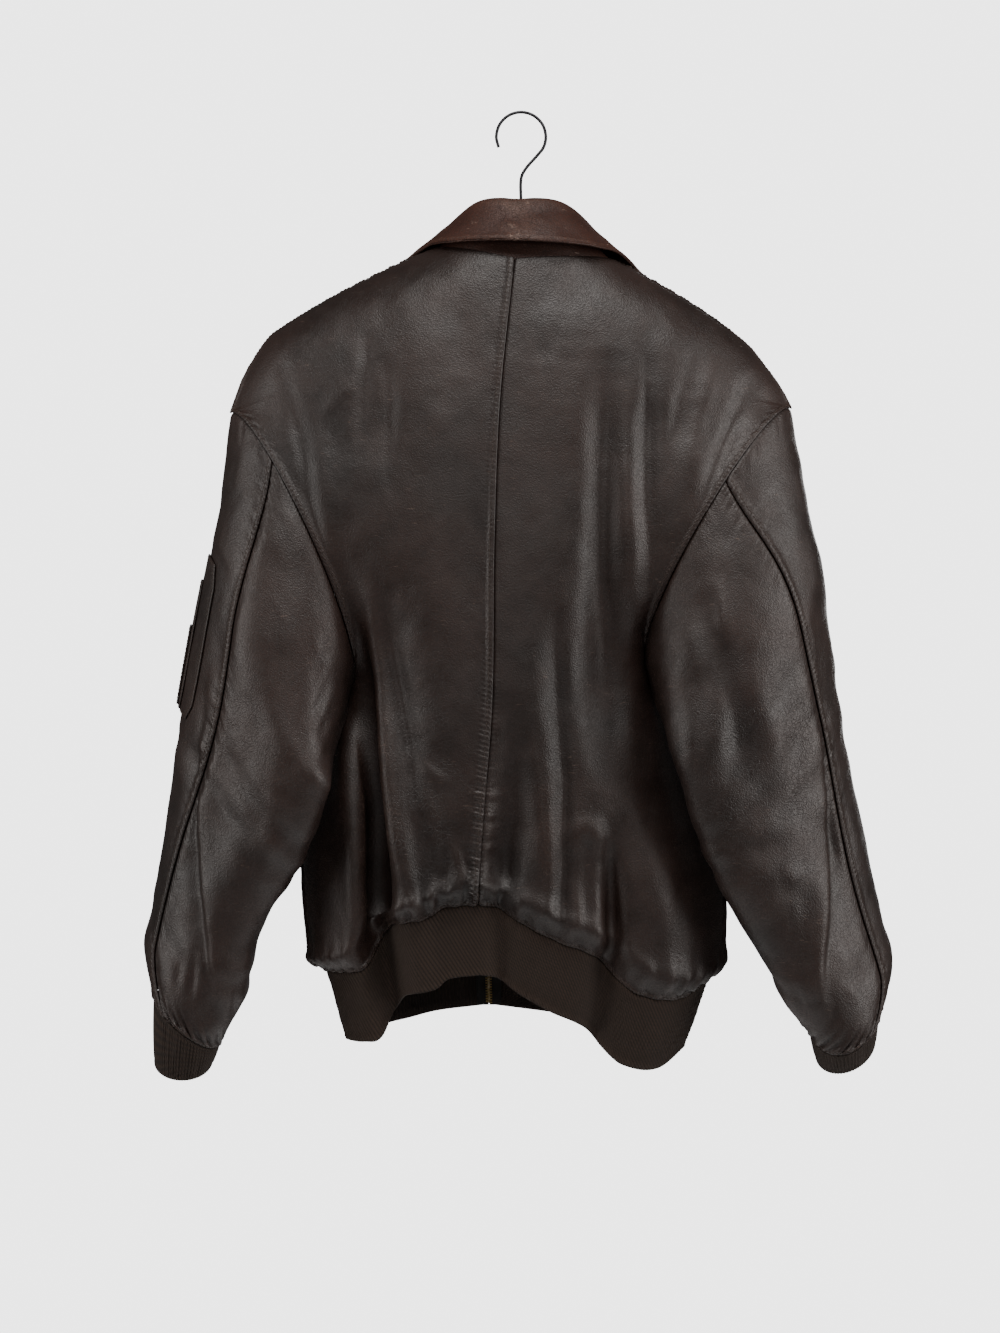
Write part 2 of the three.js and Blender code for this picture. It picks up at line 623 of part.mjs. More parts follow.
// Zip tapes behind the front edges, from the neck to the foot of the band
const tapeSet = leather / 2 + seamGap + zipTape / 2 + 0.5;
for (const side of sides) {
  const tapePlace = (out, row) => {
    const inBand = row > 1;
    const edge = bodyPlace(side, front, 0, Math.min(row, 1));
    const low = inBand ? (row - 1) / 0.25 : 0;
    const x = edge.x + side.sign * (lerp(0.35, zipHalfWidth, out) - zipHalfGap);
    const taper = lerp(1, bandTaperX, low);
    const y = edge.y * lerp(1, bandTaperY, low) - tapeSet;
    return point(bandCentre.x + (x - bandCentre.x) * taper, y, edge.z - bandHeight * low);
  };
  const tapeRows = [...bodyRows, 1.08, 1.25];
  const tape = tapeRows.map((row) => [0, 1].map((out) => ({
    column: out, at: tapePlace(out, row), normal: point(0, 1, 0),
  })));
  add(`zip_tape_${side.name}`, wall(tape, zipTape), 'tape');
}

// Slider and pull tab at the top of the closed zip
const sliderAt = bodyPlace(right, front, 0, sliderRow);
sliderAt.x = front.middle(sliderAt.z);
sliderAt.y += -tapeSet + zipTape / 2 + seamGap + 0.5;
const zipSlope = (front.depth(sliderAt.z - 20) - front.depth(sliderAt.z + 5)) / 25;
const zipLean = new THREE.Matrix4().makeRotationX(Math.atan(zipSlope));

function outlineSolid(outline, holes, depth) {
  const shape = new THREE.Shape(outline.map(([x, y]) => new THREE.Vector2(x, y)));
  for (const hole of holes) {
    shape.holes.push(new THREE.Path(hole.map(([x, y]) => new THREE.Vector2(x, y))));
  }
  return new THREE.ExtrudeGeometry(shape, { depth, bevelEnabled: false }).translate(0, 0, -depth / 2);
}
function joined(...shapes) {
  const solids = shapes.map((shape) => {
    const bare = new THREE.BufferGeometry().setAttribute('position', shape.getAttribute('position'));
    const welded = mergeVertices(bare, 1e-3);
    return new Manifold(new Mesh({
      numProp: 3,
      vertProperties: welded.attributes.position.array,
      triVerts: new Uint32Array(welded.index.array),
    }));
  });
  const mesh = Manifold.union(solids).getMesh();
  return closed([...mesh.vertProperties], [...mesh.triVerts]);
}
// The slider: a plate that narrows downwards, joined to a bridge that leaves an eye for the pull tab.
const plate = outlineSolid(
  [[-sliderWide / 2, sliderTall / 2], [-sliderWide / 2, 0], [-sliderWide / 2 + 2, -sliderTall / 2],
    [sliderWide / 2 - 2, -sliderTall / 2], [sliderWide / 2, 0], [sliderWide / 2, sliderTall / 2]],
  [], sliderThick);
const standUp = new THREE.Matrix4().makeBasis(point(1, 0, 0), point(0, 0, 1), point(0, -1, 0));
plate.applyMatrix4(standUp).translate(0, sliderThick / 2, 0);
const foot = bridgeTall / 2;
const crown = sliderThick + bridgeHigh;
const bridge = outlineSolid(
  [[1, -foot], [sliderThick, -foot], [crown, -foot + 1.2], [crown, foot - 1.2], [sliderThick, foot],
    [1, foot], [1, foot - bridgeBar], [sliderThick, foot - bridgeBar],
    [crown - bridgeBar, foot - bridgeBar - 0.8],
    [crown - bridgeBar, -foot + bridgeBar + 0.8], [sliderThick, -foot + bridgeBar], [1, -foot + bridgeBar]],
  [], bridgeWide);
const sideOn = new THREE.Matrix4().makeBasis(point(0, 1, 0), point(0, 0, 1), point(1, 0, 0));
bridge.applyMatrix4(sideOn);
const slider = joined(plate, bridge).applyMatrix4(zipLean).translate(sliderAt.x, sliderAt.y, sliderAt.z);
add('zip_slider', slider, 'brass');

// Pull tab: a leaf with a window that goes round the bridge; its top bar turns inside the bridge.
const windowHalf = bridgeWide / 2 + 0.6;
const pullTab = outlineSolid(
  [[-tabHalf, -1], [-tabHalf, -tabLong + 4], [-tabHalf + 2.5, -tabLong], [tabHalf - 2.5, -tabLong],
    [tabHalf, -tabLong + 4], [tabHalf, -1], [tabHalf - 1, barHalf], [-tabHalf + 1, barHalf]],
  [[[-windowHalf, -barHalf], [windowHalf, -barHalf], [windowHalf, -windowLong], [-windowHalf, -windowLong]]],
  tabThick);
pullTab.applyMatrix4(standUp).translate(0, sliderThick + 1, pinAbove);
pullTab.applyMatrix4(zipLean).translate(sliderAt.x, sliderAt.y, sliderAt.z);
add('zip_pull', pullTab, 'brass');

// Utility pocket on the left sleeve, each layer made from the sleeve's points moved out
function pocketLayer(fromColumn, toColumn, fromAlong, toAlong, lift, thickness, cornerCut) {
  const place = (column, along) => {
    const at = sleevePlace(left, sleeveAngle(left, column, along), along);
    const step = 0.02;
    const beside = sleevePlace(left, sleeveAngle(left, column + 0.2, along), along)
      .sub(sleevePlace(left, sleeveAngle(left, column - 0.2, along), along));
    const below = sleevePlace(left, sleeveAngle(left, column, along + step), along + step)
      .sub(sleevePlace(left, sleeveAngle(left, column, along - step), along - step));
    const normal = beside.cross(below).normalize();
    const middle = left.outerEdge.getPointAt(along).lerp(left.innerEdge.getPointAt(along), 0.5);
    const outward = normal.dot(at.clone().sub(middle)) < 0 ? -1 : 1;
    return { at, normal: normal.multiplyScalar(outward) };
  };
  const rows = [0, 0.12, 0.37, 0.62, 0.88, 1].map((share) => {
    const inset = cornerCut * Math.max(0, 0.12 - Math.min(share, 1 - share)) / 0.12;
    const along = lerp(fromAlong, toAlong, share);
    return evenly(10).map((across) => {
      const column = lerp(fromColumn + inset, toColumn - inset, across);
      const spot = place(column, along);
      return { column, at: spot.at.addScaledVector(spot.normal, lift), normal: spot.normal };
    });
  });
  return wall(rows, thickness);
}
const baseLift = leather / 2 + 3 * seamGap + pocketHide / 2;
const layerStep = pocketHide + 2 * seamGap;
add('pocket_base', pocketLayer(-3, 2.6, 0.245, 0.52, baseLift, pocketHide, 0.35), 'hide');
add('pocket_pen', pocketLayer(-1.8, 1.5, 0.29, 0.515, baseLift + layerStep, pocketHide, 0.12), 'hide');
add('pocket_outer', pocketLayer(-1.6, 1.2, 0.37, 0.51, baseLift + 2 * layerStep, pocketHide, 0.12), 'hide');

// Hanger: a round bar under the shoulder seams and a wire hook
const under = leather / 2 + seamGap + 0.1 + barRadius;
const barLeft = -226;
const barRight = 202;
const neckArch = through([[-200, left.ridge(-200)], [left.neck.x, left.neck.z], [0, -112],
  [right.neck.x, right.neck.z], [200, right.ridge(200)]]);
function barRidge(x) {
  if (x > left.neck.x && x < right.neck.x) return neckArch(x);
  return (x < 0 ? left : right).ridge(x);
}
function barCentre(share) {
  const x = lerp(barLeft, barRight, share);
  const slope = (barRidge(x + 3) - barRidge(x - 3)) / 6;
  const normal = point(-slope, 0, 1).normalize();
  return point(x, 0, barRidge(x)).addScaledVector(normal, -under);
}
const barShares = evenly(30);
const barRings = barShares.map((share) => {
  const centre = barCentre(share);
  const along = barCentre(Math.min(share + 0.01, 1)).sub(barCentre(Math.max(share - 0.01, 0))).normalize();
  const up = point(-along.z, 0, along.x);
  return evenly(12).slice(0, -1).map((turn) => {
    const angle = turn * 2 * Math.PI;
    return centre.clone().addScaledVector(up, barRadius * Math.sin(angle))
      .add(point(0, barRadius * Math.cos(angle), 0));
  });
});
add('hanger_bar', loft(barRings), 'plastic');

const loopCentre = point(0, 0, -hookLoop);
const loopRadius = hookLoop + hookWire;
const stemFoot = barCentre(barLeft / (barLeft - barRight)).z + barRadius + seamGap;
const hookPath = new THREE.CatmullRomCurve3([
  point(0, 0, stemFoot), point(0, 0, lerp(stemFoot, -60, 0.5)), point(0.4, 0, -60), point(5, 0, -51.5),
  ...[-50, -25, 0, 30, 60, 90, 120, 150, 180, 205].map((turn) => point(
    loopCentre.x + loopRadius * Math.cos(degToRad(turn)),
    0,
    loopCentre.z + loopRadius * Math.sin(degToRad(turn)),
  )),
]);
const hookRings = evenly(44).map((share) => {
  const centre = hookPath.getPointAt(share);
  const along = hookPath.getTangentAt(share);
  const sideways = point(along.z, 0, -along.x).normalize();
  return evenly(8).slice(0, -1).map((turn) => {
    const angle = turn * 2 * Math.PI;
    return centre.clone().addScaledVector(sideways, hookWire * Math.cos(angle))
      .add(point(0, hookWire * Math.sin(angle), 0));
  });
});
add('hanger_hook', loft(hookRings), 'steel');

export default jacket;
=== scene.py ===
import bpy
import math
import numpy as np
from functools import partial
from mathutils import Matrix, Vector


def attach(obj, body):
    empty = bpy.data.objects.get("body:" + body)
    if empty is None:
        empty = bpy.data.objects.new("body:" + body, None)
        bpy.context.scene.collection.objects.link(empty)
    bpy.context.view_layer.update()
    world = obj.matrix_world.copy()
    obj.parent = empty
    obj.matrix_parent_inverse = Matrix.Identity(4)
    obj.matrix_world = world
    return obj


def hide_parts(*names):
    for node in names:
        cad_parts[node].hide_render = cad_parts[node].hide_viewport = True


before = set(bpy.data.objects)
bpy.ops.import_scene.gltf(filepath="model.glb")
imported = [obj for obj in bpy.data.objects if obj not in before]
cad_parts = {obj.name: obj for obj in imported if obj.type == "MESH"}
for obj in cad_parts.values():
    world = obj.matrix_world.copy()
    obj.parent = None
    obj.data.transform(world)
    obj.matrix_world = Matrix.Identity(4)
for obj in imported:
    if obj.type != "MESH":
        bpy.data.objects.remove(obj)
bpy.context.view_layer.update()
mm = 0.001  # shapes are worked out in millimetres and made in metres
print("frame loaded")

# small tools

def gauss(t):
    return np.exp(-np.square(t))

def smoothstep(x, low, high):
    t = np.clip((np.asarray(x, float) - low) / (high - low), 0, 1)
    return t * t * (3 - 2 * t)

def lerp(a, b, t):
    return a + (b - a) * t

def unit(v):
    return v / np.maximum(np.linalg.norm(v, axis=-1, keepdims=True), 1e-9)

def runAlong(line):
    # the distance from a line's start to each of its points
    return np.concatenate([[0], np.cumsum(np.linalg.norm(np.diff(line, axis=0), axis=1))])

def pointsAt(marks, run, line):
    return np.stack([np.interp(marks, run, line[:, k]) for k in range(3)], -1)

def through(pairs):
    # a smooth curve through (place, value) pairs, level beyond its ends
    xs, ys = np.array(pairs, float).T
    n = len(xs)
    before, after = np.maximum(np.arange(n) - 1, 0), np.minimum(np.arange(n) + 1, n - 1)
    slopes = (ys[after] - ys[before]) / (xs[after] - xs[before])

    def at(x):
        x = np.clip(np.asarray(x, float), xs[0], xs[-1])
        i = np.clip(np.searchsorted(xs, x, side="right") - 1, 0, n - 2)
        width = xs[i + 1] - xs[i]
        t = (x - xs[i]) / width
        bend = t * (1 - t) ** 2 * width * slopes[i] + t * t * (t - 1) * width * slopes[i + 1]
        return ys[i] + (ys[i + 1] - ys[i]) * t * t * (3 - 2 * t) + bend
    return at

def softLine(points):
    # a smooth line through points: "at" goes by the points, "along" by the distance
    p = np.array(points, float)
    n = len(p)
    padded = np.vstack([2 * p[0] - p[1], p, 2 * p[-1] - p[-2]])

    def at(t):
        s = np.clip(np.asarray(t, float), 0, 1) * (n - 1)
        i = np.minimum(s.astype(int), n - 2)
        w = (s - i)[..., None]
        a, b, c, d = (padded[i + k] for k in range(4))
        ab, bc, cd = (np.maximum(np.sqrt(np.linalg.norm(v - u, axis=-1, keepdims=True)), 1e-2)
                      for u, v in ((a, b), (b, c), (c, d)))
        start = ((b - a) / ab - (c - a) / (ab + bc) + (c - b) / bc) * bc
        end = ((c - b) / bc - (d - b) / (bc + cd) + (d - c) / cd) * bc
        return b + start * w + (3 * (c - b) - 2 * start - end) * w ** 2 + (2 * (b - c) + start + end) * w ** 3

    steps = np.linspace(0, 1, 201)
    marks = at(steps)
    run = runAlong(marks)
    return {"at": at, "along": lambda u: at(np.interp(np.asarray(u, float) * run[-1], run, steps))}

# the jacket's cut, as it hangs: the lines and depths of the solids, closed up a little under the arms

cut = {
    "leather": 1.6, "knit": 2.0, "collarLeaf": 2.2, "tape": 1.2,
    "tipRow": 0.26, "underarmRow": 0.6, "armToHem": 275,
    "bandHeight": 66, "bandTaperX": 0.88, "bandTaperY": 0.93, "bandMiddle": -20, "zipHalfGap": 6.5,
    "blouseOut": 7, "blouseHigh": 24, "blouseSpan": 17, "nipShare": .8, "nipSpan": 11,
    "gatherHeight": 1.8, "gatherReach": 10, "backGathers": 12, "frontGathers": 4, "armholeBow": 24,
}
sides = {
    "left": {
        "sign": -1, "neck": (-83, 0, -129), "tip": (-275.5, 0, -285),
        "ridge": through([(-275.5, -285), (-263, -252), (-246, -224), (-234, -210), (-167, -170),
                          (-83, -129)]),
        "sideSeam": softLine([(-160, 0, -540), (-177, 6, -564), (-193, 14, -604), (-203, 16, -650),
                              (-208, 13, -700), (-207, 10, -747), (-200, 7, -794), (-190, 5, -813)]),
        "backHem": through([(0, -745), (.23, -749), (.32, -758), (.55, -767), (.64, -784), (.73, -807),
                            (.86, -812), (1, -813)]),
        "frontHem": through([(0, -788), (.5, -796), (1, -813)]),
        "outer": softLine([(-275.5, 0, -285), (-283, 4, -345), (-293, 10, -419), (-308, 20, -495),
                           (-322, 32, -572), (-332, 40, -652), (-343, 40, -728), (-354, 34, -794),
                           (-360, 26, -832)]),
        "inner": softLine([(-160, 0, -540), (-164, -20, -557), (-175, -58, -597), (-181, -80, -642),
                           (-203, -67, -699), (-240, -50, -756), (-259, -40, -804), (-270, -30, -868)]),
        "sleeveSeam": through([(0, 56), (.25, 70), (.45, 77), (.75, 72), (1, 62)]),
        "sleeveFolds": [
            (through([(.2, 128), (.55, 118)]), through([(.12, 0), (.3, 5), (.5, 0)]), 26),
            (through([(.5, 96), (.9, 112)]), through([(.42, 0), (.65, 6), (.86, 0)]), 22)],
        "cuffTop": {"centre": (-317, -1, -858), "across": 30, "deep": 40, "slant": 24, "dip": 10},
        "cuffEnd": {"centre": (-322, 10, -902), "across": 26, "deep": 38, "slant": 2, "dip": 12},
    },
    "right": {
        "sign": 1, "neck": (88, 0, -140), "tip": (256.5, 0, -281),
        "ridge": through([(88, -140), (161, -182), (213, -220), (232, -243), (246, -262), (256.5, -281)]),
        "sideSeam": softLine([(118, 0, -520), (139, 7, -550), (159, 14, -600), (174, 16, -650),
                              (188, 14, -700), (195, 11, -750), (192, 8, -794), (183, 5, -821)]),
        "backHem": through([(0, -745), (.09, -749), (.19, -763), (.34, -780), (.5, -795), (.6, -817),
                            (.69, -831), (.86, -836), (1, -821)]),
        "frontHem": through([(0, -788), (.5, -800), (1, -821)]),
        "outer": softLine([(256.5, 0, -281), (266, 4, -340), (279, 10, -405), (293, 20, -500),
                           (311, 34, -614), (330, 40, -709), (345, 37, -775), (351, 32, -815),
                           (348, 26, -838)]),
        "inner": softLine([(118, 0, -520), (122, -20, -539), (132, -58, -574), (144, -80, -616),
                           (164, -75, -676), (193, -65, -742), (222, -50, -790), (243, -42, -828),
                           (260, -32, -866)]),
        "sleeveSeam": through([(0, 72), (.25, 66), (.5, 62), (.75, 64), (1, 60)]),
        "sleeveFolds": [
            (through([(.2, 132), (.6, 112)]), through([(.1, 0), (.32, 8), (.62, 0)]), 26),
            (through([(.5, 84), (.9, 76)]), through([(.5, 0), (.72, 6), (.92, 0)]), 20)],
        "cuffTop": {"centre": (306, -1, -852), "across": 32, "deep": 42, "slant": 12, "dip": 34},
        "cuffEnd": {"centre": (310, 16, -890), "across": 27, "deep": 38, "slant": 10, "dip": 16},
    },
}
back = {
    "toward": -1, "hem": "backHem", "gathers": cut["backGathers"], "edgeGap": 0,
    "height": through([(0, -147), (.26, -280), (.6, -531), (1, -745)]),
    "depth": through([(-745, -71), (-650, -84), (-500, -90), (-350, -88), (-250, -82), (-190, -75),
                      (-147, -68)]),
    "middle": through([(-745, -41), (-656, -34.5), (-556, -27), (-409, -25), (-281, -20), (-147, -6.5)]),
    # a fold is its line down the panel, how far it sinks, and half its width
    "folds": [
        (through([(-768, -134), (-704, -138), (-636, -145), (-556, -154), (-501, -163), (-427, -173)]),
         through([(-768, 34), (-704, 28), (-636, 19), (-556, 11), (-480, 6), (-410, 0)]), 13),
        (through([(-768, -104), (-636, -116), (-501, -132)]),
         through([(-768, -7), (-690, -8), (-600, -6), (-480, 0)]), 17),
        (through([(-520, -199), (-450, -206), (-392, -212), (-340, -228)]),
         through([(-500, 0), (-440, 6), (-370, 7), (-320, 0)]), 12),
        (through([(-550, 72), (-430, 74), (-300, 77)]),
         through([(-640, 0), (-540, 8), (-430, 10), (-310, 6), (-230, 0)]), 16),
        (through([(-440, 118), (-330, 113)]), through([(-470, 0), (-400, 6), (-330, 6), (-260, 0)]), 12),
        (through([(-440, 166), (-370, 182), (-290, 200)]),
         through([(-460, 0), (-400, 8), (-340, 6), (-280, 0)]), 13),
        (through([(-760, -18), (-640, -18)]), through([(-740, 9), (-690, 9), (-600, 0)]), 13),
        (through([(-800, 82), (-720, 84), (-640, 86)]), through([(-790, 15), (-740, 11), (-660, 0)]), 12),
        (through([(-830, 140), (-700, 130)]), through([(-830, -10), (-740, -9), (-640, 0)]), 30)],
}
front = {
    "toward": 1, "hem": "frontHem", "gathers": cut["frontGathers"], "edgeGap": cut["zipHalfGap"],
    "height": through([(0, -205), (.26, -306), (.6, -535), (1, -788)]),
    "depth": through([(-788, 74), (-650, 84), (-450, 87), (-300, 83), (-205, 72)]),
    "middle": through([(-788, -32), (-205, 0)]),
    "folds": [
        (through([(-790, -120), (-500, -128)]), through([(-790, 14), (-650, 8), (-430, 0)]), 20),
        (through([(-790, 92), (-500, 84)]), through([(-790, 13), (-650, 8), (-420, 0)]), 20)],
}
sleeveDepth = through([(0, 68), (.15, 64), (.4, 50), (.7, 46), (1, 42)])
rowSpread = through([(0, 90), (.2, 90), (.26, 84), (.34, 58), (.44, 50), (.54, 52), (.6, 60), (.7, 74),
                     (1, 80)])

def sleeveAngle(side, column, along):
    # twenty columns go round a sleeve: 0 is its outer line, 4 the seam at the back, 10 its inner line
    at = np.mod(column, 20)
    seam = side["sleeveSeam"](along)
    turn = np.where(at <= 4, seam * at / 4, np.where(at >= 10, 18 * at, lerp(seam, 180, (at - 4) / 6)))
    return np.radians(turn)

def cuffRing(ring, side, angle):
    # a tilted oval, where the angle goes from the outer line round the back
    x, y, z = ring["centre"]
    return np.stack([x + side["sign"] * ring["across"] * np.cos(angle), y - ring["deep"] * np.sin(angle),
                     z + ring["slant"] * np.cos(angle) - ring["dip"] * np.sin(angle)], -1)

def sleevePlace(side, angle, along):
    # a sleeve is a tube between its outer and inner lines, bowed at the armhole and drawn into the cuff
    angle, along = np.broadcast_arrays(np.asarray(angle, float), np.asarray(along, float))
    outer, inner = side["outer"]["along"](along), side["inner"]["along"](along)
    half = (outer - inner) / 2
    u = unit(half)
    backward = unit(u * u[..., 1:2] - np.array([0, 1, 0]))
    offset = half * np.cos(angle)[..., None] + backward * (sleeveDepth(along) * np.sin(angle))[..., None]
    sink = sum(depth(along) * gauss((np.degrees(angle) - line(along)) / width)
               for line, depth, width in side["sleeveFolds"])
    place = (outer + inner) / 2 + offset - unit(offset) * sink[..., None]
    bow = cut["armholeBow"] * (1 - smoothstep(along, 0, .3)) * np.abs(np.sin(angle))
    place[..., 0] -= side["sign"] * bow * np.abs(u[..., 2])
    dip = side["cuffTop"]["dip"] * np.sin(angle) * smoothstep(along, .5, .95)
    place[..., 2] += bow * np.abs(u[..., 0]) - dip
    return lerp(place, cuffRing(side["cuffTop"], side, angle), smoothstep(along, .9, 1)[..., None])

def rowEnd(side, face, rows):
    # a row ends on the shoulder's ridge, then on the armhole, then on the side seam
    tip, arm = cut["tipRow"], cut["underarmRow"]
    x = lerp(side["neck"][0], side["tip"][0], np.clip(rows / tip, 0, 1))
    shoulder = np.stack([x, 0 * x, side["ridge"](x)], -1)
    column = np.clip(10 * (rows - tip) / (arm - tip), 0, 10)
    angle = -np.radians(18 * column)
    if face is back:
        angle = sleeveAngle(side, np.minimum(column, 9.9999), 0 * column)
    armhole = sleevePlace(side, angle, 0 * column)
    seam = side["sideSeam"]["at"]((rows - arm) / (1 - arm))
    return np.where((rows <= tip)[:, None], shoulder, np.where((rows <= arm)[:, None], armhole, seam))

def bodyPlace(side, face, across, rows):
    # a panel is a bulging sheet from its middle edge to the ends of its rows, folded and bloused at the hem
    across, rows = np.asarray(across, float), np.asarray(rows, float)
    z = face["height"](rows)
    middle = np.stack([face["middle"](z) + side["sign"] * face["edgeGap"], face["depth"](z), z], -1)[:, None]
    spread = np.radians(rowSpread(rows))[:, None]
    share = np.sin(across * spread) / np.sin(spread)
    bulge = (np.cos(across * spread) - np.cos(spread)) / (1 - np.cos(spread))
    end = rowEnd(side, face, rows)[:, None]
    # away from its edge the panel doesn't follow the corners at the shoulder's tip and under the arm
    for row, reach, power in ((cut["tipRow"], .11, 5), (cut["underarmRow"], .13, 9)):
        steps = np.linspace(-.85, .85, 9) * reach
        mean = sum(rowEnd(side, face, np.clip(rows + s, 0, 1)) for s in steps)[:, None] / len(steps)
        soft = gauss((rows - row) / reach)[:, None] * (1 - share ** power)
        end = lerp(end, mean, soft[..., None])
    place = lerp(middle, end, share[..., None])
    place[..., 1] = lerp(end[..., 1], middle[..., 1], bulge)
    low = np.clip((rows - cut["underarmRow"]) / (1 - cut["underarmRow"]), 0, 1)[:, None]
    hem = side[face["hem"]]
    place[..., 2] += (hem(share) - lerp(hem(0), hem(1), share)) * low ** 1.6
    held = smoothstep(rows, .02, .12)[:, None] * smoothstep(1 - across, 0, .22)
    sunk = sum(depth(place[..., 2]) * gauss((place[..., 0] - line(place[..., 2])) / width)
               for line, depth, width in face["folds"])
    place[..., 1] -= face["toward"] * sunk * held
    above = (1 - low) * cut["armToHem"]
    nip = cut["nipShare"] * gauss(above / cut["nipSpan"])
    swell = cut["blouseOut"] * (gauss((above - cut["blouseHigh"]) / cut["blouseSpan"]) - nip)
    rise = above / cut["gatherReach"]
    wave = np.sin(2 * np.pi * face["gathers"] * across) * rise * np.exp(1 - rise)
    swell = swell + cut["gatherHeight"] * wave
    place[..., 0] += side["sign"] * swell * np.sin(across * np.pi / 2)
    place[..., 1] += face["toward"] * swell * np.cos(across * np.pi / 2)
    return place

def roundBody(row, frontSteps, backSteps):
    # one row of the four panels as a line, from the left front edge round the back to the right front edge
    return softLine(np.vstack([
        bodyPlace(sides["left"], front, np.arange(frontSteps + 1) / frontSteps, [row])[0],
        bodyPlace(sides["left"], back, np.arange(backSteps)[::-1] / backSteps, [row])[0],
        bodyPlace(sides["right"], back, np.arange(1, backSteps + 1) / backSteps, [row])[0],
        bodyPlace(sides["right"], front, np.arange(frontSteps)[::-1] / frontSteps, [row])[0]]))

# creases seen in the photograph: a line of (across, down, depth), then its width to the left and right
# across and down are in the picture's pixels, depth is in millimetres and is negative on a ridge

photo = {"hookAcross": 521, "hookDown": 198, "hookHeight": -80, "perPixel": .95,
         "eyeAcross": -20, "eyeHeight": -525, "nearer": .965}

def fromPhoto(across, down):
    # the leather is nearer to the camera than the hook, so its places are drawn in toward the camera's axis
    x = (across - photo["hookAcross"]) * photo["perPixel"]
    z = photo["hookHeight"] - (down - photo["hookDown"]) * photo["perPixel"]
    eyeX, eyeZ = photo["eyeAcross"], photo["eyeHeight"]
    return eyeX + (x - eyeX) * photo["nearer"], eyeZ + (z - eyeZ) * photo["nearer"]

def creased(places, creases):
    # how far the creases sink the leather at each place
    x, z = places[..., 0], places[..., 2]
    total = np.zeros(x.shape)
    for line, wideLeft, wideRight in creases:
        nearest, amount = np.full(x.shape, 1e9), np.zeros(x.shape)
        for (ax, ay, aDepth), (bx, by, bDepth) in zip(line[:-1], line[1:]):
            (x0, z0), (x1, z1) = fromPhoto(ax, ay), fromPhoto(bx, by)
            dx, dz = x1 - x0, z1 - z0
            t = np.clip(((x - x0) * dx + (z - z0) * dz) / (dx * dx + dz * dz), 0, 1)
            offX, offZ = x - x0 - t * dx, z - z0 - t * dz
            away = np.hypot(offX, offZ)
            wide = np.where(dx * offZ - dz * offX > 0, wideRight, wideLeft)
            closer = away < nearest
            amount = np.where(closer, lerp(aDepth, bDepth, t) * gauss(away / (1.3 * wide)), amount)
            nearest = np.minimum(nearest, away)
        total += amount
    return total

